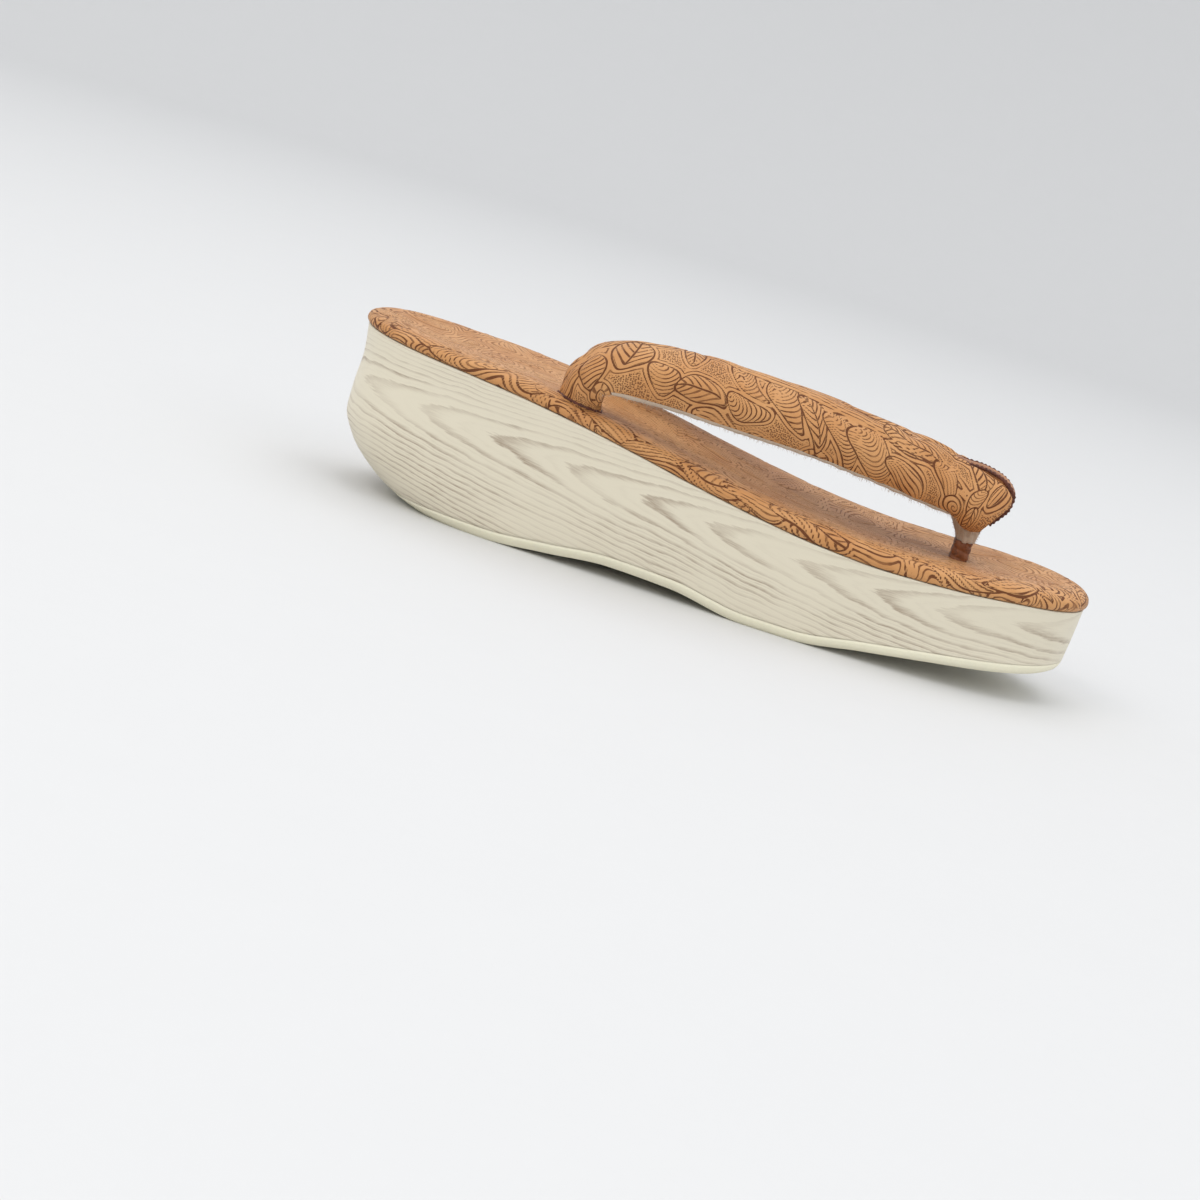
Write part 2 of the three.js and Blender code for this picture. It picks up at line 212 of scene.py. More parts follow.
def ripple(u, v, wavelength, seed, waves=7):
    """A smooth uneven field of about -1 to 1: a sum of sine waves in seeded directions."""
    draw = np.random.RandomState(seed)
    total = np.zeros(np.broadcast(u, v).shape)
    for heading, stretch, start in draw.uniform(0, 1, (waves, 3)):
        rate = 2 * math.pi / (wavelength * (0.7 + 0.8 * stretch))
        angle = 2 * math.pi * heading
        total += np.sin(rate * (u * math.cos(angle) + v * math.sin(angle)) + 2 * math.pi * start)
    return total / math.sqrt(waves * 1.6)


def fuller(wave, power):
    """A sine or cosine raised to a power that keeps its sign, which fills a section's corners."""
    return np.sign(wave) * np.abs(wave) ** power


def lengths_along(points):
    """Distance travelled at each point of each path, where the path runs along the last but one axis."""
    step = np.linalg.norm(np.diff(points, axis=-2), axis=-1)
    return np.concatenate([np.zeros(step.shape[:-1] + (1,)), np.cumsum(step, axis=-1)], axis=-1)


def unit(vectors):
    """Each vector divided by its length."""
    return vectors / np.maximum(np.linalg.norm(vectors, axis=-1, keepdims=True), 1e-9)


def face_normals(points):
    """Unit normals of a grid: the cross product of its two tangents."""
    return unit(np.cross(np.gradient(points, axis=0), np.gradient(points, axis=1)))


def shaken(u, v, depth, wavelength, seed):
    """Flat coordinates pushed about by two ripples, so that what is drawn on them isn't even."""
    bent_u = u + depth * ripple(u, v, wavelength, seed)
    bent_v = v + depth * ripple(u, v, wavelength, seed + 1)
    return bent_u, bent_v


# ---- meshes ------------------------------------------------------------------------------------------


def grid_piece(name, points, uv=None, fields=None, slot=None):
    """A mesh object from a grid of points in millimetres, whose last column repeats the first where
    the piece is closed. Doubles are merged, and faces are turned outwards. uv is in millimetres.
    fields is a table of corner attributes: a number or three numbers for each point."""
    rows, cols = points.shape[:2]
    low = np.arange((rows - 1) * cols).reshape(rows - 1, cols)[:, :-1].ravel()
    faces = np.stack([low, low + 1, low + cols + 1, low + cols], axis=1)
    mesh = bpy.data.meshes.new(name)
    mesh.from_pydata(in_metres(points), [], faces.tolist())
    corners = np.zeros(len(mesh.loops), np.int32)
    mesh.loops.foreach_get("vertex_index", corners)
    if uv is not None:
        layer = mesh.uv_layers.new(name="surface")
        layer.data.foreach_set("uv", (uv.reshape(-1, 2)[corners] * MM).ravel().astype(np.float32))
    for field, values in (fields or {}).items():
        wide = values.ndim == 3
        attribute = mesh.attributes.new(field, "FLOAT_VECTOR" if wide else "FLOAT", "CORNER")
        flat = values.reshape(rows * cols, -1)[corners].astype(np.float32)
        attribute.data.foreach_set("vector" if wide else "value", flat.ravel())
    work = bmesh.new()
    work.from_mesh(mesh)
    bmesh.ops.remove_doubles(work, verts=work.verts, dist=2e-6)
    bmesh.ops.dissolve_degenerate(work, edges=work.edges, dist=1e-7)
    bmesh.ops.recalc_face_normals(work, faces=work.faces)
    work.to_mesh(mesh)
    work.free()
    mesh.polygons.foreach_set("use_smooth", np.ones(len(mesh.polygons), bool))
    return placed_piece(name, mesh, slot)


def in_metres(points):
    """A list of places in metres from the frame's origin, from millimetres forward of the heel."""
    return ((points.reshape(-1, 3) - (LENGTH / 2, 0, 0)) * MM).tolist()


def placed_piece(name, mesh, slot):
    """The mesh's object. With a slot it is a piece of the sandal, and rides on its one body."""
    piece = bpy.data.objects.new(name, mesh)
    bpy.context.scene.collection.objects.link(piece)
    if slot:
        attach(piece, BODY)
    return piece


def sided(name, sign):
    """Name of the right or the left one of a pair of pieces, which have sign -1 and 1."""
    return name + ("_right" if sign < 0 else "_left")


def closed(points):
    """The grid with a row added at each end, gathered into that ring's middle."""
    first, last = (np.broadcast_to(ring.mean(axis=0), ring.shape)[None] for ring in (points[0], points[-1]))
    return np.concatenate([first, points, last])


def dress(piece, material):
    """The piece's only material."""
    piece.data.materials.clear()
    piece.data.materials.append(material)


# ---- tooled artwork ----------------------------------------------------------------------------------

LEAF, FEATHER, SHELL, SCROLL, EYE, SWEEP = range(6)
CLEAR_OF_LINES = 9.0  # distance to an outline that counts as none near, in millimetres
RIM_SLOPE = 1.6  # distance from its outline over which a motif rises to its full height
GROUND_FADE = 0.3


def motif_veins(kind, p, q, reach, length, width, pitch):
    """Count of tooled lines passed at each point inside a motif, where p runs along the motif, q
    across it, and reach is 0 at the middle and 1 on the outline.

    Leaf: slanted veins from a midrib. Feather: the same, swept back in curves. Shell: arcs round
    one end. Scroll: a spiral. Eye: ticks round a ringed middle. Sweep: long lines that meet at the
    tips."""
    if kind == LEAF:
        return (p - 1.1 * np.abs(q)) / (1.45 * pitch)
    if kind == FEATHER:
        return (p + 0.9 * np.abs(q) ** 1.35) / (1.9 * pitch)
    if kind == SHELL:
        return np.hypot(p + length, 0.8 * q * length / width) / pitch
    if kind == SCROLL:
        return reach * width / pitch + np.arctan2(q, p) / (2 * math.pi)
    if kind == EYE:
        ticks = np.arctan2(q, p) * round(0.5 * (length + width) * 2.4 / pitch) / (2 * math.pi)
        return np.where(reach < 0.5, reach * width / pitch, ticks)
    lines = round(2 * width / pitch)
    taper = np.sqrt(np.clip(1 - (p / length) ** 2, 0.02, 1))
    return 0.5 * lines * q / (width * taper)


def tooled(u, v, motifs, pitch, echo):
    """The tooled artwork at each point of the flat leather, in millimetres.

    Each motif is an oval, drawn out to one tip and bent, laid over those before it. Outside them
    all, lines echo the nearest outline up to the echo distance, and beyond lies punched ground.
    Returns the line count as cosine and sine with the distance to the nearest outline, the ground's
    share, and how far the motif is raised, from 0 to 1."""
    outline = np.full(u.shape, CLEAR_OF_LINES)
    outside = np.full(u.shape, 10 * CLEAR_OF_LINES)
    count = np.zeros(u.shape)
    raised = np.zeros(u.shape)
    for centre_u, centre_v, length, width, turn, bend, tip, kind in motifs:
        span = 2.2 * length + echo
        rows = np.flatnonzero((np.abs(u - centre_u) < span).any(axis=1))
        if not len(rows):
            continue
        part = slice(rows[0], rows[-1] + 1)
        du, dv = u[part] - centre_u, v[part] - centre_v
        angle = math.radians(turn)
        p = du * math.cos(angle) + dv * math.sin(angle)
        q = dv * math.cos(angle) - du * math.sin(angle)
        q = q - bend * np.clip(p, -1.5 * length, 1.5 * length) ** 2 / length
        wide = width * (1 - tip * np.clip(p / length, -1, 1))
        reach = np.hypot(p / length, q / wide) + 1e-6
        slope = np.maximum(np.hypot(p / length**2, q / wide**2) / reach, 1 / length)
        edge = (1 - reach) / slope
        lines = motif_veins(kind, p, q, reach, length, width, pitch)
        rib = edge
        if kind in (LEAF, FEATHER):
            rib = np.minimum(edge, np.where(p < 0.7 * length, np.abs(q), CLEAR_OF_LINES))
        if kind == EYE:
            rib = np.minimum(edge, np.abs(reach - 0.5) * width)
        inside = edge > 0
        count[part] = np.where(inside, lines, count[part])
        outline[part] = np.where(inside, rib, np.minimum(outline[part], -edge))
        outside[part] = np.where(inside, 0, np.minimum(outside[part], -edge))
        raised[part] = np.where(inside, np.clip(edge / RIM_SLOPE, 0, 1), raised[part])
    echoed = outside > 0
    count = np.where(echoed, outside / pitch, count)
    ground = step_between(echo, echo + GROUND_FADE, outside)
    turn = 2 * math.pi * count
    art = np.stack([np.cos(turn), np.sin(turn), np.minimum(outline, CLEAR_OF_LINES)], axis=-1)
    return art, ground, raised


def scattered_motifs(low, high, pitch, seed, flow):
    """Motifs on a jittered brick grid over a rectangle of leather, in millimetres, with seeded kind,
    size and bend, lying roughly along the angle that flow gives for their place."""
    draw = np.random.RandomState(seed)
    motifs = []
    row_pitch = pitch * 0.72
    for row, centre_v in enumerate(np.arange(low[1], high[1], row_pitch)):
        for centre_u in np.arange(low[0] + (row % 2) * pitch / 2, high[0], pitch):
            jitter = draw.uniform(-0.24, 0.24, 2) * pitch
            size, bend, lean, tip = draw.uniform((0.34, -0.3, -38, 0.1), (0.6, 0.3, 38, 0.6))
            kind = draw.choice([LEAF, FEATHER, SHELL, SHELL, SCROLL, EYE, SWEEP, SWEEP])
            round_one = kind in (EYE, SCROLL)
            length = pitch * (0.3 + 0.12 * size if round_one else 0.85 * size)
            width = length * (0.85 if round_one else draw.uniform(0.36, 0.55))
            place = centre_u + jitter[0], centre_v + jitter[1]
            turn = flow(*place) + lean + 180 * draw.randint(2)
            motifs.append((*place, length, width, turn, bend, 0 if round_one else tip, kind))
    order = draw.permutation(len(motifs))
    return [motifs[i] for i in order]


# the strap's main motifs: distance from the foot, distance round from the crown (outer side
# positive), half length, half width, turn, bend, tip, kind
STRAP_MOTIFS = [
    (11, -9, 12, 3.2, -16, 0.12, 0.3, SWEEP), (6, 2, 8, 3.4, 20, -0.1, 0.3, SWEEP),
    (24, -6.5, 15, 3.4, -8, 0.1, 0.5, FEATHER), (50, -11.5, 24, 2.4, 3, 0.05, 0.3, SWEEP),
    (22.5, 3.2, 6.6, 4.6, 104, 0.1, 0.3, FEATHER), (13.5, 7.5, 5, 3.4, 96, 0.1, 0.2, SHELL),
    (38.5, -2.8, 5.2, 3.0, 84, 0.1, 0.15, LEAF), (31, 9.4, 5.6, 4.2, 74, 0.1, 0.2, SHELL),
    (42, 9.5, 7.6, 3.6, 8, 0.25, 0.2, FEATHER), (54.5, 1.2, 8.2, 3.5, 48, -0.3, 0.5, SHELL),
    (55.5, 10.4, 7.2, 3.4, 6, -0.15, 0.1, SHELL), (67, 3.6, 9.2, 4.1, 62, -0.25, 0.5, SHELL),
    (77.5, 5.5, 9.4, 3.6, 58, 0.25, 0.4, FEATHER), (88, 7.4, 9.8, 3.8, 54, 0.3, 0.45, SHELL),
    (98, 8.6, 11.4, 5.2, 48, 0.32, 0.45, SHELL), (96, -8.2, 14, 2.8, 8, -0.08, 0.6, FEATHER),
    (84, -3.4, 44, 2.7, 7, 0.05, 0.25, SWEEP), (110, -1.4, 13, 3.0, 16, 0.15, 0.6, FEATHER),
    (110.5, 10.4, 10, 3.4, 42, 0.3, 0.4, SWEEP), (122, -8.4, 6.4, 3.0, 14, 0.2, 0.2, SHELL),
    (122.5, 5.2, 7.6, 3.0, 50, 0.25, 0.5, SWEEP), (127.5, 11, 4.4, 3.2, 30, 0.1, 0.1, SCROLL),
    (132.5, -3, 6, 2.6, 62, 0.15, 0.3, LEAF), (134.5, 6, 5.4, 2.7, 78, -0.1, 0.2, SHELL),
    (136, -10, 5.6, 2.8, 40, 0.1, 0.3, FEATHER), (139.5, 0.6, 4.6, 2.2, 84, 0, 0.2, SWEEP),
    (137.5, 12, 4.6, 2.6, 74, 0.1, 0.2, LEAF),
]


# ---- shader building ---------------------------------------------------------------------------------


class Nodes:
    """Short calls that add nodes to one tree and link them."""

    def __init__(self, tree):
        self.tree = tree

    def add(self, kind, **settings):
        """A node with its settings."""
        node = self.tree.nodes.new(kind)
        for key, value in settings.items():
            setattr(node, key, value)
        return node

    def feed(self, socket, value):
        """Links an output to the socket, or sets the socket's own value."""
        if isinstance(value, bpy.types.NodeSocket):
            self.tree.links.new(value, socket)
        elif value is not None:
            socket.default_value = value

    def math(self, operation, first, second=None, third=None):
        """Result of a Math node."""
        node = self.add("ShaderNodeMath", operation=operation)
        for socket, value in zip(node.inputs, (first, second, third)):
            self.feed(socket, value)
        return node.outputs[0]

    def ease(self, value, low, high, start=0.0, end=1.0):
        """start below low, end above high, with a smooth S between."""
        node = self.add("ShaderNodeMapRange", interpolation_type="SMOOTHSTEP")
        for key, item in zip(("Value", "From Min", "From Max", "To Min", "To Max"),
                             (value, low, high, start, end)):
            self.feed(node.inputs[key], item)
        return node.outputs["Result"]

    def blend(self, share, first, second, mode="MIX"):
        """Mix of two colours."""
        node = self.add("ShaderNodeMix", data_type="RGBA", blend_type=mode)
        self.feed(node.inputs["Factor"], share)
        self.feed(node.inputs["A"], opaque(first))
        self.feed(node.inputs["B"], opaque(second))
        return node.outputs["Result"]

    def scaled(self, vector, scale):
        """A vector stretched by three factors."""
        node = self.add("ShaderNodeVectorMath", operation="MULTIPLY")
        self.feed(node.inputs[0], vector)
        self.feed(node.inputs[1], scale)
        return node.outputs[0]

    def noise(self, vector, scale, detail=3.0, roughness=0.5, distortion=0.0):
        """Noise from 0 to 1."""
        node = self.add("ShaderNodeTexNoise")
        for key, item in zip(("Vector", "Scale", "Detail", "Roughness", "Distortion"),
                             (vector, scale, detail, roughness, distortion)):
            self.feed(node.inputs[key], item)
        return node.outputs["Fac"]

    def cells(self, vector, scale, randomness=1.0, dimensions="3D"):
        """Distance to the middle of the nearest cell, in cells."""
        node = self.add("ShaderNodeTexVoronoi", voronoi_dimensions=dimensions)
        self.feed(node.inputs["Vector"], vector)
        self.feed(node.inputs["Scale"], scale)
        self.feed(node.inputs["Randomness"], randomness)
        return node.outputs["Distance"]

    def bump(self, height, distance, strength=1.0):
        """Normal from a height that runs from 0 to 1, over a depth in metres."""
        node = self.add("ShaderNodeBump")
        node.inputs["Strength"].default_value = strength
        node.inputs["Distance"].default_value = distance
        self.feed(node.inputs["Height"], height)
        return node.outputs["Normal"]

    def attribute(self, name, output):
        """An attribute of the piece's own mesh."""
        return self.add("ShaderNodeAttribute", attribute_name=name).outputs[output]


def opaque(colour):
    """A colour with full alpha; an output passes unchanged."""
    if isinstance(colour, bpy.types.NodeSocket) or len(colour) == 4:
        return colour
    return (*colour, 1.0)


def effect_group(name, inputs, outputs, build):
    """A shader node group, built once. inputs and outputs are pairs of name and socket kind, and
    build gets the Nodes and the input sockets by name, and returns the values to put out."""
    if name in bpy.data.node_groups:
        return bpy.data.node_groups[name]
    tree = bpy.data.node_groups.new(name, "ShaderNodeTree")
    for label, kind in inputs:
        tree.interface.new_socket(name=label, in_out="INPUT", socket_type="NodeSocket" + kind)
    for label, kind in outputs:
        tree.interface.new_socket(name=label, in_out="OUTPUT", socket_type="NodeSocket" + kind)
    nodes = Nodes(tree)
    entry = tree.nodes.new("NodeGroupInput")
    way_out = tree.nodes.new("NodeGroupOutput")
    given = {label: entry.outputs[label] for label, _ in inputs}
    for (label, _), value in zip(outputs, build(nodes, given)):
        tree.links.new(value, way_out.inputs[label])
    return tree


def use_group(nodes, group, **values):
    """A placed group with its inputs fed. Spaces in a socket's name are written as underscores."""
    node = nodes.add("ShaderNodeGroup", node_tree=group)
    for label, value in values.items():
        nodes.feed(node.inputs[label.replace("_", " ")], value)
    return node.outputs


def tooling_group():
    """Ink and height of the tooled lines, from the artwork that the mesh carries."""

    def build(nodes, given):
        parts = nodes.add("ShaderNodeSeparateXYZ")
        nodes.feed(parts.inputs[0], given["Art"])
        turn = nodes.math("ARCTAN2", parts.outputs[1], parts.outputs[0])
        from_line = nodes.math("ABSOLUTE", nodes.math("DIVIDE", turn, math.pi))
        wobble = nodes.noise(given["Place"], 420, 2)
        width = nodes.math("MULTIPLY", given["Line share"], nodes.ease(wobble, 0.25, 0.75, 0.55, 1.35))
        wider = nodes.math("ADD", width, 0.17)
        vein = nodes.ease(from_line, width, wider, 1, 0)
        clear = nodes.ease(parts.outputs[2], 0.25, 0.5)
        # between corners cosine and sine shrink where lines lie too close for the mesh, so these
        # lines fade out
        across = nodes.math("MULTIPLY", parts.outputs[0], parts.outputs[0])
        up = nodes.math("MULTIPLY", parts.outputs[1], parts.outputs[1])
        sure = nodes.ease(nodes.math("ADD", across, up), 0.1, 0.5)
        off_ground = nodes.math("SUBTRACT", 1.0, given["Ground"])
        vein = nodes.math("MULTIPLY", nodes.math("MULTIPLY", vein, clear), sure)
        vein = nodes.math("MULTIPLY", vein, off_ground)
        faint = nodes.ease(nodes.noise(given["Place"], 160, 2), 0.3, 0.6, 0.55, 1)
        vein = nodes.math("MULTIPLY", vein, faint)
        edge = nodes.math("MULTIPLY", given["Outline"], nodes.ease(wobble, 0.2, 0.8, 0.7, 1.2))
        rim = nodes.ease(parts.outputs[2], edge, nodes.math("ADD", edge, 0.12), 1, 0)
        rate = nodes.math("DIVIDE", 1.0, given["Dot pitch"])
        spread = nodes.ease(nodes.cells(given["Place"], rate, 0.6, "2D"), 0.22, 0.4, 1, 0)
        dots = nodes.math("MULTIPLY", spread, given["Ground"])
        lines = nodes.math("MAXIMUM", vein, rim)
        ink = nodes.math("MAXIMUM", lines, nodes.math("MULTIPLY", dots, 0.8))
        return ink, nodes.math("SUBTRACT", 1.0, ink)

    return effect_group(
        "Tooled lines",
        [("Art", "Vector"), ("Ground", "Float"), ("Place", "Vector"), ("Line share", "Float"),
         ("Outline", "Float"), ("Dot pitch", "Float")],
        [("Ink", "Float"), ("Height", "Float")],
        build,
    )


def uneven_group():
    """Soft patches and fine grain that every finish is varied with."""

    def build(nodes, given):
        patches = nodes.noise(given["Place"], given["Patch scale"], 4, 0.55)
        pores = nodes.cells(given["Place"], given["Grain scale"])
        fibres = nodes.noise(given["Place"], nodes.math("MULTIPLY", given["Grain scale"], 0.6), 3, 0.6)
        grain = nodes.math("MULTIPLY_ADD", pores, 0.5, nodes.math("MULTIPLY", fibres, 0.5))
        return nodes.ease(patches, 0.3, 0.7), grain

    return effect_group(
        "Uneven surface",
        [("Place", "Vector"), ("Patch scale", "Float"), ("Grain scale", "Float")],
        [("Patches", "Float"), ("Grain", "Float")],
        build,
    )


def new_material(name, roughness, specular=0.5, sheen=0.0, sheen_roughness=0.5):
    """A material with a Principled shader: (material, Nodes, shader)."""
    material = bpy.data.materials.new(name)
    material.use_nodes = True
    nodes = Nodes(material.node_tree)
    shader = material.node_tree.nodes["Principled BSDF"]
    shader.inputs["Roughness"].default_value = roughness
    shader.inputs["Specular IOR Level"].default_value = specular
    shader.inputs["Sheen Weight"].default_value = sheen
    shader.inputs["Sheen Roughness"].default_value = sheen_roughness
    return material, nodes, shader


def tooled_leather(name, sizes, colours, line_share, outline):
    """Tan leather with dark dye in the tooled lines, a rubbed face and a fine grain, with the lines' dye
    painted fainter on the footbed's up-facing top, a painted reflection of its gloss.
    """
    material, nodes, shader = new_material(name, 0.5, 0.28, 0.04, 0.4)
    place = nodes.add("ShaderNodeUVMap", uv_map="surface").outputs[0]
    tooling = use_group(
        nodes, tooling_group(), Art=nodes.attribute("art", "Vector"),
        Ground=nodes.attribute("ground", "Fac"), Place=place, Line_share=line_share,
        Outline=outline, Dot_pitch=sizes.dot_pitch,
    )
    skin = use_group(nodes, uneven_group(), Place=place, Patch_scale=55.0, Grain_scale=2600.0)
    rubbed = nodes.blend(skin["Patches"], tuple(colours.leather), tuple(colours.leather_pale))
    # Painted reflection: on the footbed's up-facing top the lines' dye is drawn at about half strength,
    # where the gloss catches the light.
    left = nodes.math("MULTIPLY_ADD", nodes.attribute("glare_fade", "Fac"), -0.42, 0.94)
    dyed = nodes.blend(nodes.math("MULTIPLY", tooling["Ink"], left), rubbed, tuple(colours.tooling))
    nodes.feed(shader.inputs["Base Color"], dyed)
    gloss = nodes.math("MULTIPLY_ADD", tooling["Ink"], 0.22, 0.42)
    nodes.feed(shader.inputs["Roughness"], nodes.math("MULTIPLY_ADD", skin["Grain"], 0.12, gloss))
    height = nodes.math("MULTIPLY_ADD", skin["Grain"], 0.12, tooling["Height"])
    nodes.feed(shader.inputs["Normal"], nodes.bump(height, 0.00032, 0.9))
    return material


def plain_leather(name, face, dark, fold_stretch):
    """Leather without tooling, with streaks along its folds and dark creases."""
    material, nodes, shader = new_material(name, 0.5, 0.4, 0.1, 0.4)
    place = nodes.add("ShaderNodeTexCoord").outputs["Object"]
    skin = use_group(nodes, uneven_group(), Place=place, Patch_scale=160.0, Grain_scale=2200.0)
    streaks = nodes.noise(nodes.scaled(place, fold_stretch), 1.0, 5, 0.6, 0.3)
    crease = nodes.ease(streaks, 0.34, 0.56, 1, 0)
    tone = nodes.blend(nodes.math("MULTIPLY", crease, 0.75), tuple(face), tuple(dark))
    tone = nodes.blend(nodes.math("MULTIPLY", skin["Patches"], 0.35), tone,
                       tuple(min(1.0, c * 1.5) for c in face))
    nodes.feed(shader.inputs["Base Color"], tone)
    nodes.feed(shader.inputs["Roughness"], nodes.math("MULTIPLY_ADD", skin["Grain"], 0.2, 0.4))
    height = nodes.math("MULTIPLY_ADD", skin["Grain"], 0.2, nodes.math("SUBTRACT", 1.0, crease))
    nodes.feed(shader.inputs["Normal"], nodes.bump(height, 0.0003, 0.8))
    return material


def edge_and_shadow_leather(name, colours, fold_stretch):
    """Plain leather in the colour of a cut edge, with creases that are darker still. It dresses the loop's
    raw edges, and also the thin dark ring at each arm's foot, which is a painted shadow.
    """
    return plain_leather(name, colours.cut_edge_and_shadow, [0.4 * c for c in colours.cut_edge_and_shadow], fold_stretch)


def printed_cover(colours):
    """Cream cover with a soft grey-beige wood-grain print that follows the count of growth rings."""
    material, nodes, shader = new_material("Printed sole cover", 0.45, 0.4)
    place = nodes.add("ShaderNodeUVMap", uv_map="surface").outputs[0]
    rings = nodes.attribute("rings", "Fac")
    feather = nodes.noise(nodes.scaled(place, (90.0, 1100.0, 1.0)), 1.0, 5, 0.7)
    ragged = nodes.math("MULTIPLY_ADD", nodes.math("SUBTRACT", feather, 0.5), 0.6, rings)
    share = nodes.math("FRACT", ragged)
    rise = nodes.ease(share, 0.0, 0.09)
    fall = nodes.ease(share, 0.1, 0.52, 1, 0)
    line = nodes.math("MULTIPLY", rise, fall)
    finer = nodes.math("FRACT", nodes.math("MULTIPLY", ragged, 3.0))
    thin = nodes.math("MULTIPLY", nodes.ease(finer, 0.0, 0.2), nodes.ease(finer, 0.2, 0.6, 1, 0))
    dense = nodes.attribute("dense", "Fac")
    weight = nodes.noise(nodes.scaled(place, (26.0, 90.0, 1.0)), 1.0, 3, 0.5)
    weight = nodes.ease(weight, 0.36, 0.62, 0.25, 1.0)
    pores = nodes.noise(nodes.scaled(place, (240.0, 3200.0, 1.0)), 1.0, 2, 0.6)
    pores = nodes.ease(pores, 0.35, 0.6, 0.55, 1)
    some = nodes.math("MULTIPLY", thin, nodes.math("MULTIPLY_ADD", dense, 0.26, 0.1))
    ink = nodes.math("MAXIMUM", line, some)
    ink = nodes.math("MULTIPLY", nodes.math("MULTIPLY", ink, weight), pores)
    parts = nodes.add("ShaderNodeSeparateXYZ")
    nodes.feed(parts.inputs[0], place)
    ink = nodes.math("MULTIPLY", ink, nodes.ease(parts.outputs[1], 0.001, 0.012, 0.5, 1))
    skin = use_group(nodes, uneven_group(), Place=place, Patch_scale=18.0, Grain_scale=1500.0)
    paper = nodes.blend(nodes.math("MULTIPLY", skin["Patches"], 0.25), tuple(colours.cover),
                        tuple(c * 0.93 for c in colours.cover))
    nodes.feed(shader.inputs["Base Color"],
               nodes.blend(nodes.math("MULTIPLY", ink, 0.9), paper, tuple(colours.print_ink)))
    nodes.feed(shader.inputs["Roughness"], nodes.math("MULTIPLY_ADD", skin["Grain"], 0.16, 0.38))
    nodes.feed(shader.inputs["Normal"], nodes.bump(skin["Grain"], 0.00004, 0.5))
    return material


def soft_sheet(name, colour, roughness, grain_scale, depth, sheen, patches=0.06):
    """Foam, fleece or floor: one colour with soft patches and a fine matt grain."""
    material, nodes, shader = new_material(name, roughness, 0.3, sheen, 0.6)
    place = nodes.add("ShaderNodeTexCoord").outputs["Object"]
    skin = use_group(nodes, uneven_group(), Place=place, Patch_scale=40.0, Grain_scale=grain_scale)
    tone = nodes.blend(skin["Patches"], tuple(c * (1 - patches) for c in colour), tuple(colour))
    tone = nodes.blend(nodes.math("MULTIPLY", skin["Grain"], 5 * patches), tone,
                       tuple(c * 0.8 for c in colour))
    nodes.feed(shader.inputs["Base Color"], tone)
    nodes.feed(shader.inputs["Roughness"], nodes.math("MULTIPLY_ADD", skin["Grain"], 0.1, roughness))
    nodes.feed(shader.inputs["Normal"], nodes.bump(skin["Grain"], depth, 0.7))
    return material


# ---- sole --------------------------------------------------------------------------------------------


def rim_half_width(angle):
    """Half width of the rim: a sum of sines of the outline angle, 0 at the heel and pi at the toe."""
    return sum(size * np.sin((i + 1) * angle) for i, size in enumerate(OUTLINE_SINES))


def rim_height(along):
    """Height of the rim under the insole."""
    return smooth_curve(SIDE_VIEW[:, 0], SIDE_VIEW[:, 1], along)


def ground_height(along):
    """Height of the ground side."""
    return smooth_curve(SIDE_VIEW[:, 0], SIDE_VIEW[:, 2], along)


def wall_points(angle, height):
    """Points on the right wall of the sole: along runs from heel to toe with the angle's cosine,
    across is the rim's half width drawn in, and up runs from the ground side to the rim."""
    heel = smooth_curve(WALL[:, 0], WALL[:, 1], height)
    toe = LENGTH - smooth_curve(WALL[:, 0], WALL[:, 2], height)
    along = heel + (toe - heel) * (1 - np.cos(angle)) / 2
    across = rim_half_width(angle) * smooth_curve(WALL[:, 0], WALL[:, 3], height)
    ground = ground_height(along)
    return np.stack([along, -across, ground + height * (rim_height(along) - ground)], axis=-1)


def height_above(angle, distance):
    """Height on the wall, 0 to 1, that lies a distance above the ground side."""
    height = np.zeros(angle.shape)
    for _ in range(6):
        along = wall_points(angle, height)[..., 0]
        height = distance / (rim_height(along) - ground_height(along))
    return height


def whole_section(right, over_steps, under_steps):
    """Closed sections across the sandal: up the right wall, straight over the top, down the left
    wall, which mirrors it, and straight back underneath."""
    left = right[:, ::-1] * (1, -1, 1)
    over = np.linspace(0, 1, over_steps + 2)[1:-1, None]
    under = np.linspace(0, 1, under_steps + 2)[1:-1, None]
    top = right[:, -1:] * (1 - over) + left[:, :1] * over
    bottom = left[:, -1:] * (1 - under) + right[:, :1] * under
    return np.concatenate([right, top, left, bottom, right[:, :1]], axis=1)


def sole_shell(name, levels, slot, with_print):
    """A solid of the sole between two heights on the wall, with its surface coordinates: distance
    round the rim from the heel, and distance below the rim."""
    angle = np.linspace(0, math.pi, SOLE_ROWS)
    heights = levels(angle)
    right = wall_points(np.broadcast_to(angle[:, None], heights.shape), heights)
    points = whole_section(right, FLAT_STEPS, FLAT_STEPS)
    rim = wall_points(angle, np.ones(SOLE_ROWS))
    round_rim = lengths_along(rim)
    wall_lean = 1.03  # the wall's length over its height
    below = (rim_height(right[..., 0]) - right[..., 2]) * wall_lean
    side = np.stack([np.broadcast_to(round_rim[:, None], below.shape), below], axis=-1)
    other = side[:, ::-1] * (-1, 1) + (2 * round_rim[-1], 0)
    flat_top = np.repeat(side[:, -1:], FLAT_STEPS, axis=1)
    flat_under = np.repeat(side[:, :1], FLAT_STEPS, axis=1)
    uv = np.concatenate([side, flat_top, other, flat_under, side[:, :1]], axis=1)
    fields = growth_rings(uv) if with_print else None
    return grid_piece(name, points, uv, fields, slot)


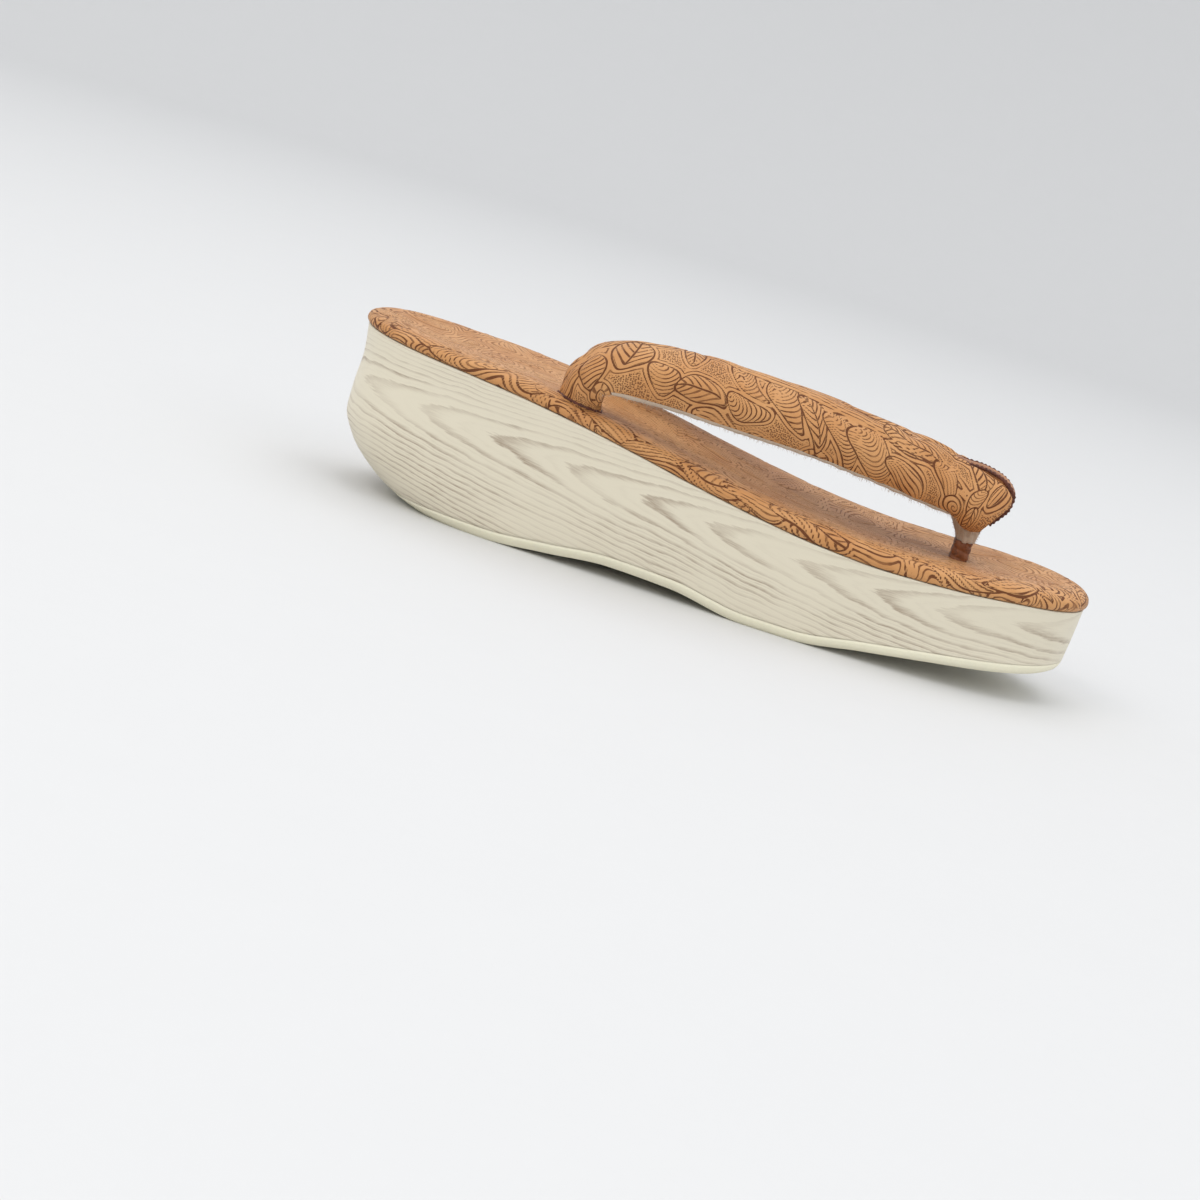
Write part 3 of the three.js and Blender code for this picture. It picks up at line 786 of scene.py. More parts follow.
def growth_rings(uv):
    """Count of growth rings at each point of the cover: arches that open forwards, one behind the
    other. The count is the distance round the rim less the squared distance from the arches' axis
    over their width, so each ring is a pointed arch whose legs draw close together further down.
    Past a set distance the legs run straight and evenly. Returns the count, and a share that grows
    away from the axis, where the print is denser."""
    sizes = bpy.context.scene.sandal_sizes
    pitch = sizes.grain_pitch / MM
    s, below = uv[..., 0], uv[..., 1]
    toe_axis, heel_drop = 6, 9
    axis = toe_axis + heel_drop * (1 - step_between(60, 190, s)) + 1.2 * ripple(s, 0 * s, 70, 11)
    off = below - axis
    off = off + 0.5 * ripple(s, below, 40, 5) + 0.18 * ripple(s, 3 * below, 12, 6)
    width_below, width_above, straight, point = 2.3, 1.4, 13.0, 1.1
    width = np.where(off > 0, width_below, width_above)
    drop = np.where(np.abs(off) < straight, off**2, straight * (2 * np.abs(off) - straight)) / width
    drop = drop + point * np.abs(off)
    ahead = 4.0 * ripple(s, below * 0.4, 60, 3)
    rings = (s + ahead - drop) / pitch
    dense = step_between(5, 12, np.abs(off))
    return {"rings": rings, "dense": dense}


class SANDAL_OT_sole(bpy.types.Operator):
    """Outsole sheet and printed wedge sole"""

    bl_idname = "sandal.sole"
    bl_label = "Sole"

    def execute(self, context):
        colours = context.scene.sandal_colours

        def sheet_levels(angle):
            """Heights on the wall at set distances above the ground side."""
            distances = np.array([0, 0.12, 0.45, 0.95, 1.6, 2.3, OUTSOLE_THICKNESS])
            return np.stack([height_above(angle, d) for d in distances], axis=1)

        def wedge_levels(angle):
            """Even heights on the wall from just over the outsole to the rim."""
            foot = height_above(angle, OUTSOLE_THICKNESS + SHEET_GAP)[:, None]
            return foot + (1 - foot) * np.linspace(0, 1, WALL_LEVELS)

        outsole = sole_shell("outsole_sheet", sheet_levels, "outsole", False)
        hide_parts("outsole")
        dress(outsole, soft_sheet("Outsole foam", colours.outsole, 0.62, 1400.0, 0.00006, 0.0))
        wedge = sole_shell("sole_wedge", wedge_levels, "sole_cover", True)
        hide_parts("sole_body")
        dress(wedge, printed_cover(colours))
        return {"FINISHED"}


# ---- insole ------------------------------------------------------------------------------------------


def footbed_dents(along, across):
    """How far the leather is drawn down round the post's slot and where the arms go in."""
    depth = np.zeros(np.broadcast(along, across).shape)
    for centre_x, centre_y, reach, deep in (
        (POST["along"], 0, 9.0, 0.15),
        (FOOT_HOLE["along"], FOOT_HOLE["across"], 13.0, 0.8),
        (FOOT_HOLE["along"], -FOOT_HOLE["across"], 13.0, 0.8),
    ):
        away = np.hypot(along - centre_x, across - centre_y)
        depth += deep * (1 - step_between(0.2 * reach, reach, away))
    return depth


def edge_thickness(along):
    """Share of the rolled edge's height that is left, which is less at the back of the heel."""
    return 1 - HEEL_THINNING * (1 - step_between(10, 85, along))


def dish_depth(across, inner_half):
    """How far the footbed's top lies below its rolled edge: a bowl that fades out in the narrow ends."""
    room = step_between(2, 26, inner_half)
    return INSOLE_DISH * room * np.clip(1 - (across / inner_half) ** 2, 0, 1) ** 1.5


def footbed_height(along, across):
    """Height of the dished footbed, without its tooling."""
    angle = np.arccos(1 - 2 * along / LENGTH)
    inner_half = rim_half_width(angle) * (1 + INSOLE_EDGE[-1, 0] / OUTLINE_SINES[0])
    top = rim_height(along) + COVER_GAP + INSOLE_EDGE[-1, 1] * edge_thickness(along)
    return top - dish_depth(across, inner_half) - footbed_dents(along, across)


class SANDAL_OT_insole(bpy.types.Operator):
    """Tooled leather footbed with its rolled edge"""

    bl_idname = "sandal.insole"
    bl_label = "Insole"

    def execute(self, context):
        sizes = context.scene.sandal_sizes
        edge_steps, across_steps, under_steps = FOOTBED_EDGE_STEPS, FOOTBED_TOP_STEPS, FOOTBED_UNDER_STEPS
        angle = np.linspace(0, math.pi, FOOTBED_ROWS)[:, None]
        knots = np.arange(len(INSOLE_EDGE), dtype=float)
        at = np.linspace(0, knots[-1], edge_steps)
        out = smooth_curve(knots, INSOLE_EDGE[:, 0], at)
        up = smooth_curve(knots, INSOLE_EDGE[:, 1], at)
        half = LENGTH / 2 + out
        along = LENGTH / 2 - half * np.cos(angle)
        across = rim_half_width(angle) * (1 + out / OUTLINE_SINES[0])
        height = rim_height(along) + COVER_GAP + up * edge_thickness(along)
        right = np.stack([along, -across, height], axis=-1)
        points = whole_section(right, across_steps, under_steps)
        top = points[:, edge_steps - 1:edge_steps + across_steps + 1]
        inner_half = np.maximum(-top[:, :1, 1], 1e-3)
        top[..., 2] -= dish_depth(top[..., 1], inner_half)

        inner = right[:, -1, :2]
        heading = np.gradient(inner, axis=0)
        outward = unit(np.stack([heading[:, 1], -heading[:, 0]], axis=-1))
        outward[0], outward[-1] = (-1, 0), (1, 0)
        rolled = lengths_along(right[:, ::-1])[:, ::-1]
        flat = inner[:, None] + outward[:, None] * rolled[..., None]
        flat = np.concatenate([flat, np.zeros(flat.shape[:2] + (1,))], axis=-1)
        uv = whole_section(flat, across_steps, under_steps)[..., :2]

        def flow(centre_u, centre_v):
            """Motifs' heading in degrees: a sine along the sandal, and a turn across it."""
            return 55 * math.sin(centre_u / 21) + 1.1 * centre_v

        motif_pitch, echo = 16.5, 6.5
        motifs = scattered_motifs((-8, -50), (LENGTH + 8, 50), motif_pitch, 23, flow)
        motifs += self.edge_motifs(inner, outward)
        drawn_at = shaken(uv[..., 0], uv[..., 1], 2.2, 24, 1)
        art, ground, raised = tooled(*drawn_at, motifs, sizes.footbed_pitch / MM, echo)
        on_top = step_between(1.5, 3.0, points[..., 2] - rim_height(points[..., 0]))
        points[..., 2] += on_top * raised * sizes.relief / MM * 0.6
        points[..., 2] -= on_top * footbed_dents(points[..., 0], points[..., 1])
        # Painted reflection: the share of the lines' dye taken away is 1 on the footbed's top and the
        # flatter top of its rolled edge, where the gloss catches the light, and 0 on the steep outer band
        # and underneath.
        rubbed = 1 - step_between(0, 6, rolled)
        glare_fade = np.concatenate([
            rubbed, np.ones((FOOTBED_ROWS, across_steps)), rubbed[:, ::-1],
            np.zeros((FOOTBED_ROWS, under_steps)), rubbed[:, :1],
        ], axis=1)
        fields = {"art": art, "ground": ground, "glare_fade": glare_fade}
        footbed = grid_piece("insole_leather_cover", points, uv, fields, "insole_leather")
        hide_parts("insole")
        colours = context.scene.sandal_colours
        dress(footbed, tooled_leather("Footbed leather", sizes, colours, 0.24, 0.22))
        return {"FINISHED"}

    def edge_motifs(self, inner, outward):
        """Long motifs that follow the rolled edge round both sides, at even distances."""
        draw = np.random.RandomState(31)
        travelled = lengths_along(inner)
        motifs = []
        start, spacing = 6, 15.0
        for at in np.arange(start, travelled[-1], spacing):
            row = np.searchsorted(travelled, at)
            tangent = math.degrees(math.atan2(outward[row, 0], -outward[row, 1]))
            for side in (1, -1):
                stand, lean, length, width, bend, tip = draw.uniform(
                    (4.5, -16, 9, 3.2, -0.2, 0.1), (8.5, 16, 13, 4.4, 0.2, 0.5))
                place = (inner[row] + outward[row] * stand) * (1, side)
                kind = draw.choice([SWEEP, SWEEP, SHELL, FEATHER])
                turn = side * tangent + lean + 180 * draw.randint(2)
                motifs.append((*place, length, width, turn, bend, tip, kind))
        return motifs


# ---- strap -------------------------------------------------------------------------------------------


def arm_frame(steps, sign):
    """The arm's path and section at even steps: centre, the two directions across the band, and
    its half width, crown and lining bulge. sign is 1 for the left arm, which sinks, and -1 for the
    right arm, whose crown swells."""
    place = ARM[:, :3]
    travelled = lengths_along(place)
    at = np.linspace(0, travelled[-1], steps)
    columns = [smooth_curve(travelled, ARM[:, i], at) for i in range(ARM.shape[1])]
    centre = np.stack(columns[:3], axis=-1)
    half, crown, lining, tilt = columns[3:]
    swell, sink = (smooth_curve(ARM_SETTLE[:, 0], ARM_SETTLE[:, i], columns[0]) for i in (1, 2))
    if sign > 0:
        centre[:, 2] -= sink
    else:
        crown = crown + swell
    outward = np.array([place[0, 1] - place[-1, 1], place[-1, 0] - place[0, 0], 0.0])
    outward /= np.linalg.norm(outward)
    tangent = unit(np.gradient(centre, axis=0))
    over = unit(np.cross(tangent, outward))
    side = np.cross(over, tangent)
    lean = np.radians(tilt)[:, None]
    chord = side * np.cos(lean) - over * np.sin(lean)
    face = side * np.sin(lean) + over * np.cos(lean)
    return at, centre, chord, face, half, crown, lining


def superellipse(angle, half, crown, lining):
    """Distance across and up of the padded section at each angle: cosine and sine raised to a power
    that fills the corners, scaled by half width, and by the crown above or the lining below."""
    power = 2 / ARM_FULLNESS
    across = half * fuller(np.cos(angle), power)
    rise = np.abs(np.sin(angle)) ** power
    return across, np.where(np.sin(angle) > 0, crown, -lining) * rise


def under_loop(points, loop_width):
    """The strap's points pressed in where the toe loop binds them: past three quarters of the loop's
    thickness, a point's distance from the hub is cut back, and the cut fades beside the loop."""
    line = loop_line(200)
    spoke = line - LOOP_HUB
    spoke_angle = np.arctan2(spoke[:, 1], spoke[:, 0])
    press = 0.75 * LOOP_THICKNESS
    limit = np.linalg.norm(spoke, axis=-1) - press
    order = np.argsort(spoke_angle)
    away = points[..., [0, 2]] - LOOP_HUB
    angle = np.arctan2(away[..., 1], away[..., 0])
    radius = np.linalg.norm(away, axis=-1)
    allowed = np.interp(angle, spoke_angle[order], limit[order])
    beside = step_between(loop_width / 2 - 0.6, loop_width / 2 + 3.0, np.abs(points[..., 1]))
    past = step_between(spoke_angle.max(), spoke_angle.max() + 0.5, angle)
    past = np.maximum(past, step_between(0.2, 0.7, spoke_angle.min() - angle))
    free = np.clip(beside + past, 0, 1)
    pressed = np.minimum(radius, allowed)
    kept = pressed * (1 - free) + radius * free
    pulled = points.copy()
    pulled[..., [0, 2]] = LOOP_HUB + away * (kept / np.maximum(radius, 1e-6))[..., None]
    return pulled


# the padding's main creases: distance from the foot, distance round from the crown, half length,
# half width, turn, depth
CREASES = [
    (10, -9, 9, 1.6, 62, 0.7), (12, -2, 9, 1.5, 78, 0.55), (11, 6, 8, 1.4, 105, 0.6),
    (17, 11, 7, 1.5, 128, 0.5), (22, -11, 8, 1.8, 40, 0.45), (30, 12, 9, 1.8, 20, 0.3),
    (58, -12, 14, 2.4, 8, 0.3), (92, 12, 12, 2.2, -6, 0.3), (112, -9, 8, 1.6, -30, 0.5),
    (118, 5, 7, 1.4, 48, 0.45), (122, -3, 6, 1.3, -64, 0.5),
]


def crease_depth(u, v):
    """How far the padding is drawn in: each crease is a soft trough with a low ridge beside it."""
    depth = np.zeros(u.shape)
    for centre_u, centre_v, length, width, turn, deep in CREASES:
        angle = math.radians(turn)
        p = (u - centre_u) * math.cos(angle) + (v - centre_v) * math.sin(angle)
        q = (v - centre_v) * math.cos(angle) - (u - centre_u) * math.sin(angle)
        q = q + 0.05 * p * np.abs(p) / length
        along = np.exp(-((p / length) ** 2))
        trough = np.exp(-((q / width) ** 2))
        ridge = np.exp(-(((q - 1.9 * width) / (1.2 * width)) ** 2))
        depth += deep * along * (trough - 0.25 * ridge)
    return depth


def foot_pleats(u, angle):
    """Folds that run into the hole: ridges round the section that fade out up the arm."""
    fade = 1 - step_between(2, 19, u)
    folds = np.cos(13 * angle + 0.7 * np.sin(3 * angle)) * 0.26 + np.cos(5 * angle + 1) * 0.2
    return -fade * folds


def strap_arm(sign, sizes):
    """One padded arm: its section carried along its path, with pleats at the foot, listed creases, the
    tooling's relief and the press of the toe loop. Returns it and the thin dark ring at its foot, a painted
    shadow of the gap between arm and footbed."""
    rows, cols = ARM_ROWS, ARM_COLUMNS
    at, centre, chord, face, half, crown, lining = arm_frame(rows, sign)
    angle = np.linspace(-math.pi / 2, 1.5 * math.pi, cols)
    across, rise = superellipse(angle, half[:, None], crown[:, None], lining[:, None])
    points = centre[:, None] + chord[:, None] * across[..., None] + face[:, None] * rise[..., None]
    round_band = lengths_along(points)
    crown_at = round_band[:, cols // 2][:, None]
    u = np.broadcast_to(at[:, None], round_band.shape)
    v = crown_at - round_band
    art, ground, raised = tooled_strap(u, v, sign, sizes)
    normal = face_normals(points)
    if (normal[rows // 2, cols // 2] * face[rows // 2]).sum() < 0:
        normal = -normal
    leather = step_between(-0.25, 0.1, np.sin(angle))[None, :]
    swell = raised * sizes.relief / MM * leather - crease_depth(u, v) * leather
    swell = swell + foot_pleats(u, angle[None, :]) + 0.12 * ripple(u, v, 17, 8 + sign)
    closing = 1 - step_between(0.965, 1, at / at[-1])
    points = points + normal * (swell * closing[:, None])[..., None]
    slant = step_between(at[-1] - 18, at[-1], at)[:, None] * (0.5 * across + 1.1)
    points[..., 0] -= np.clip(slant, -0.4, None)
    points = under_loop(points, sizes.loop_width / MM)
    points = points * (1, sign, 1)
    uv = np.stack([u, v], axis=-1)
    shadow_ring_points = foot_shadow_ring(points)
    points = closed(points)
    uv, art, ground = (np.concatenate([a[:1], a, a[-1:]], axis=0) for a in (uv, art, ground))
    fields = {"art": art, "ground": ground}
    arm = grid_piece(sided("strap_arm", sign), points, uv, fields, "strap_leather")
    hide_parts("strap")
    shadow_ring = grid_piece(sided("strap_foot_shadow_ring", sign), shadow_ring_points, slot="strap_leather")
    return arm, shadow_ring


def foot_shadow_ring(arm):
    """A painted shadow where an arm's leather meets the footbed: a thin dark ring, a small circle carried
    round the arm's section at the height of the footbed, that stands in for the shade in the gap there. arm
    is the arm's grid of points."""
    shadow_ring_stand, radius = 0.1, 0.42
    clear = arm[..., 2] - footbed_height(arm[..., 0], arm[..., 1])
    row = np.maximum(np.argmax(clear > shadow_ring_stand, axis=0), 1)
    col = np.arange(arm.shape[1])
    low, high = clear[row - 1, col], clear[row, col]
    share = np.clip((shadow_ring_stand - low) / np.maximum(high - low, 1e-6), 0, 1)[:, None]
    ring = arm[row - 1, col] * (1 - share) + arm[row, col] * share
    outward = unit((ring - ring.mean(axis=0)) * (1, 1, 0))
    angle = np.linspace(0, 2 * math.pi, 11)
    radii = radius + 0.1 * np.cos(0.9 * col)[:, None]
    radii[-1] = radii[0]
    stand = shadow_ring_stand + radii * np.cos(angle)
    rise = (0, 0, 1) * (radii * np.sin(angle))[..., None]
    return ring[:, None] + outward[:, None] * stand[..., None] + rise


def tooled_strap(u, v, sign, sizes):
    """Artwork of one arm: scattered motifs with the main ones laid over them. The left arm has the
    main ones turned end for end, because both are cut from one hide."""
    length, turned_about, motif_pitch = 140.0, 134, 15
    main = STRAP_MOTIFS
    if sign > 0:
        main = [(turned_about - m[0], m[1], m[2], m[3], 180 - m[4], *m[5:]) for m in main]

    def flow(centre_u, centre_v):
        """Motifs' heading in degrees: a sine along the arm."""
        return 25 * math.sin(centre_u / 17)

    around = scattered_motifs((-6, -34), (length, 34), motif_pitch, 41 + sign, flow)
    main_low, main_high = -16, 17
    around = [m for m in around if not main_low < m[1] < main_high]
    drawn_at = shaken(u, v, 0.8, 16, 3)
    return tooled(*drawn_at, around + main, sizes.line_pitch / MM, sizes.echo_reach / MM)


class SANDAL_OT_strap(bpy.types.Operator):
    """The strap's two padded leather arms, each with a dark ring at its foot that is a painted shadow"""

    bl_idname = "sandal.strap"
    bl_label = "Strap arms"

    def execute(self, context):
        sizes, colours = context.scene.sandal_sizes, context.scene.sandal_colours
        leather = tooled_leather("Strap leather", sizes, colours, 0.19, 0.18)
        # Painted shadow: the dark ring at each arm's foot stands in for the shade in the gap between the
        # arm and the footbed.
        raw = edge_and_shadow_leather("Painted foot shadow", colours, (500.0, 500.0, 500.0))
        for sign in (-1, 1):
            arm, shadow_ring = strap_arm(sign, sizes)
            dress(arm, leather)
            dress(shadow_ring, raw)
        return {"FINISHED"}


# ---- lining ------------------------------------------------------------------------------------------


def lining_strip(sign):
    """The fleece strip under one arm: the part of the section below its two edges, stood off by its
    thickness, which fades to nothing at both ends, and closed by the same strip inside. Returns the
    piece and its outer face's grid."""
    rows, cols = LINING_ROWS, LINING_COLUMNS
    at, centre, chord, face, half, crown, lining = arm_frame(rows, sign)
    inside = step_between(15, 24, at) * (1 - step_between(at[-1] - 24, at[-1] - 13, at))
    angle = np.linspace(-math.pi - 0.03, 0.03, cols)
    u = np.broadcast_to(at[:, None], (rows, cols))
    thick = 0.75 * inside[:, None] * (1 + 0.2 * ripple(u, 9 * angle[None, :], 5, 60 + sign))
    thick = thick * (0.9 + 0.1 * ripple(u, 0 * u, 11, 61))
    sheets = []
    for stand in (thick - 0.2, -0.6 + 0 * thick):
        deep = lining[:, None] + stand
        across, rise = superellipse(angle, half[:, None] + stand, crown[:, None], deep)
        sheet = centre[:, None] + chord[:, None] * across[..., None]
        sheets.append(sheet + face[:, None] * rise[..., None])
    points = np.concatenate([sheets[0], sheets[1][:, ::-1], sheets[0][:, :1]], axis=1)
    keep = slice(int(0.09 * rows), int(0.91 * rows))
    kept = closed(points[keep] * (1, sign, 1))
    strip = grid_piece(sided("strap_lining", sign), kept, slot="strap_leather")
    return strip, sheets[0][keep] * (1, sign, 1)


def loose_fibres(name, roots, outward, length, seed):
    """Short curved fibres, each a strip of two narrow faces from its root outwards and downwards."""
    draw = np.random.RandomState(seed)
    count = len(roots)
    wander = draw.normal(0, 0.55, (count, 3))
    heading = unit(outward + wander)
    reach = (length * draw.uniform(0.35, 1.0, count))[:, None]
    droop = np.array([0, 0, -1.0]) * reach * 0.35
    spread = np.cross(heading, draw.normal(0, 1, (count, 3)))
    spread *= 0.035 / np.maximum(np.linalg.norm(spread, axis=-1, keepdims=True), 1e-9)
    middle = roots + heading * reach * 0.55
    tip = roots + heading * reach + droop
    base = roots - heading * 0.2
    corners = np.stack([base - spread, base + spread, middle - spread, middle + spread, tip], axis=1)
    first = np.arange(count)[:, None] * 5
    quads = (first + (0, 1, 3, 2)).tolist()
    tips = (first + (2, 3, 4)).tolist()
    mesh = bpy.data.meshes.new(name)
    mesh.from_pydata(in_metres(corners), [], quads + tips)
    return placed_piece(name, mesh, "strap_leather")


def neck_piece():
    """The fleece drawn together under the joint: ovals stacked from the post up into the strap.
    Returns the piece and its grid."""
    levels = np.linspace(NECK[0, 0], NECK[-1, 0], NECK_ROWS)
    angle = np.linspace(0, 2 * math.pi, NECK_COLUMNS)
    along, length, width = (smooth_curve(NECK[:, 0], NECK[:, i], levels)[:, None] for i in (1, 2, 3))
    gather = 1 + 0.05 * np.cos(9 * angle + 0.4 * levels[:, None])
    gather = gather + 0.03 * ripple(9 * angle, levels[:, None], 8, 71)
    points = np.stack([
        along + length * gather * np.cos(angle), width * gather * np.sin(angle),
        np.broadcast_to(levels[:, None], (NECK_ROWS, NECK_COLUMNS)),
    ], axis=-1)
    return grid_piece("strap_neck_lining", closed(points), slot="strap_leather"), points


class SANDAL_OT_lining(bpy.types.Operator):
    """Fleece lining, its neck under the joint, and the loose fibres along it"""

    bl_idname = "sandal.lining"
    bl_label = "Strap lining"

    def execute(self, context):
        sizes = context.scene.sandal_sizes
        colour = context.scene.sandal_colours.fleece
        fleece = soft_sheet("Fleece lining", colour, 0.9, 1800.0, 0.0004, 0.35)
        draw = np.random.RandomState(77)
        edge_columns, fibre_rows = 4, slice(2, 26)
        for sign in (-1, 1):
            strip, rows = lining_strip(sign)
            dress(strip, fleece)
            near, far = rows[:, :edge_columns], rows[:, -edge_columns:]
            edges = np.concatenate([near.reshape(-1, 3), far.reshape(-1, 3)])
            middle = np.repeat(rows.mean(axis=1), edge_columns, axis=0)
            outward = unit(edges - np.concatenate([middle, middle]))
            outward[:, 2] -= 0.7
            pick = draw.randint(0, len(edges), STRIP_FIBRES)
            roots = edges[pick] + draw.normal(0, 0.25, (len(pick), 3))
            name = sided("lining_fibres", sign)
            fibres = loose_fibres(name, roots, outward[pick], sizes.fleece_length / MM, 80 + sign)
            dress(fibres, fleece)
        neck, points = neck_piece()
        dress(neck, fleece)
        ring = points[fibre_rows].reshape(-1, 3)
        outward = unit((ring - (NECK[0, 1], 0, 0)) * (1, 1, 0))
        pick = draw.randint(0, len(ring), NECK_FIBRES)
        fibres = loose_fibres("neck_fibres", ring[pick], outward[pick], sizes.fleece_length / MM, 90)
        dress(fibres, fleece)
        return {"FINISHED"}


# ---- loop and post -----------------------------------------------------------------------------------


def loop_line(steps):
    """The loop's outer line in side view, at even distances."""
    travelled = lengths_along(LOOP)
    at = np.linspace(0, travelled[-1], steps)
    return np.stack([smooth_curve(travelled, LOOP[:, i], at) for i in (0, 1)], axis=-1)


def side_frame(line):
    """Outward unit direction at each point of a line in side view."""
    tangent = unit(np.gradient(line, axis=0))
    return np.stack([tangent[:, 1], -tangent[:, 0]], axis=-1)


def loop_taper(share):
    """Width of the loop over its full width, from its lower end to its rear end."""
    return 1 - 0.16 * step_between(0.55, 0.0, share) - 0.05 * step_between(0.75, 1, share)


def beside_line(line, out, stand, across):
    """Closed grid of points that stand off a line in side view and lie across it."""
    return closed(np.stack([
        line[:, :1] + out[:, :1] * stand, across, line[:, 1:] + out[:, 1:] * stand,
    ], axis=-1))


def loop_band(width):
    """The loop: a flattened closed section carried along the loop's line. Its outer face has soft
    folds along the line, deepest at the front, and a thicker hem at the rear end."""
    rows, cols = 110, 97
    line = loop_line(rows)
    out = side_frame(line)
    share = np.linspace(0, 1, rows)[:, None]
    angle = np.linspace(0, 2 * math.pi, cols)
    through = fuller(np.sin(angle), 2 / 2.6)
    y = fuller(np.cos(angle), 2 / 5) * width / 2 * loop_taper(share)
    folds = 0.34 * np.cos(2.05 * y + 0.9 * np.sin(5 * share)) + 0.2 * np.cos(3.7 * y + 2 + 2 * share)
    folds = folds * (0.5 + 0.6 * step_between(0.5, 0.1, share)) * np.clip(through, 0, 1)
    hem = 0.45 * np.exp(-(((share - 0.955) / 0.03) ** 2)) * np.clip(through, 0, 1)
    stand = (through - 1) * LOOP_THICKNESS / 2 + folds - 0.3 * np.clip(through, 0, 1) + hem
    crown = 0.5 * (1 - (2 * y / width) ** 2) * np.clip(through, 0, 1)
    return beside_line(line, out, stand + crown, y)


def loop_edge(width, sign):
    """A pinked raw edge of the loop: a thin band down the loop's side, with small teeth."""
    rows, cols = 150, 13
    line = loop_line(rows)
    out = side_frame(line)
    share = np.linspace(0, 1, rows)[:, None]
    travelled = lengths_along(line)[:, None]
    angle = np.linspace(0, 2 * math.pi, cols)
    tooth_pitch = 1.45
    teeth = 0.5 + 0.5 * np.sin(2 * math.pi * travelled / tooth_pitch + 0.8 * np.sin(travelled))
    depth = 0.4 + 1.3 * np.exp(-(((share - 0.26) / 0.17) ** 2))
    stand = 0.1 - depth + depth * np.cos(angle) + 0.3 * teeth * np.clip(np.cos(angle), 0, 1)
    half = width / 2 * loop_taper(share)
    y = sign * (half + 0.05 + 0.42 * np.sin(angle) * (0.7 + 0.5 * teeth))
    return beside_line(line, out, stand, y)


class SANDAL_OT_loop(bpy.types.Operator):
    """Toe loop round the strap's joint, with its pinked edges"""

    bl_idname = "sandal.loop"
    bl_label = "Toe loop"

    def execute(self, context):
        sizes, colours = context.scene.sandal_sizes, context.scene.sandal_colours
        width = sizes.loop_width / MM
        band = grid_piece("toe_loop_band", loop_band(width), slot="loop_leather")
        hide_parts("toe_loop")
        tan = [0.5 * (a + b) for a, b in zip(colours.leather, colours.loop_leather)]
        dress(band, plain_leather("Loop leather", tan, colours.tooling, (90.0, 620.0, 90.0)))
        raw = edge_and_shadow_leather("Raw leather edge", colours, (700.0, 300.0, 700.0))
        for sign in (-1, 1):
            edge = grid_piece(sided("loop_edge", sign), loop_edge(width, sign), slot="loop_leather")
            dress(edge, raw)
        return {"FINISHED"}


class SANDAL_OT_post(bpy.types.Operator):
    """Wrapped toe post"""

    bl_idname = "sandal.post"
    bl_label = "Toe post"

    def execute(self, context):
        colours = context.scene.sandal_colours
        wrap = plain_leather("Post leather", [0.75 * c for c in colours.loop_leather],
                             [0.5 * c for c in colours.cut_edge_and_shadow], (420.0, 420.0, 560.0))
        rows, cols = 90, 73
        levels = np.linspace(POST["foot"], POST["top"], rows)[:, None]
        angle = np.linspace(0, 2 * math.pi, cols)
        power = 2 / 3.2
        across = fuller(np.sin(angle), power)
        ahead = fuller(np.cos(angle), power)
        wrap_pitch = 2.5
        turn = (levels - POST["foot"]) / wrap_pitch + 0.35 * np.cos(angle)
        wraps = 0.3 * (1 - (2 * (turn % 1) - 1) ** 2) - 0.15
        split = 0.75 * np.exp(-((np.cos(angle) / 0.16) ** 2))
        grow = 1 + (wraps - split) / POST["width"]
        points = np.stack([
            POST["along"] + POST["length"] * ahead * grow, POST["width"] * across * grow,
            np.broadcast_to(levels, grow.shape),
        ], axis=-1)
        post = grid_piece("toe_post_wrap", closed(points), slot="post_leather")
        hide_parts("toe_post")
        dress(post, wrap)
        return {"FINISHED"}


# ---- stage -------------------------------------------------------------------------------------------

CAMERA = {
    "place": (0.04608, -0.66664, 0.13334), "azimuth": 6.056, "elevation": 12.41, "roll": 16.68,
    "lens": 64.47,
}
# name, place, size, power in watts, colour
LIGHTS = [
    ("key_light", (-0.75, -0.95, 1.15), 0.9, 5.8, (1.0, 0.985, 0.96)),
    ("fill_light", (1.1, -0.9, 0.8), 1.2, 2.6, (0.97, 0.985, 1.0)),
    ("top_light", (0.1, 0.35, 1.5), 1.5, 5.2, (1.0, 0.995, 0.99)),
]


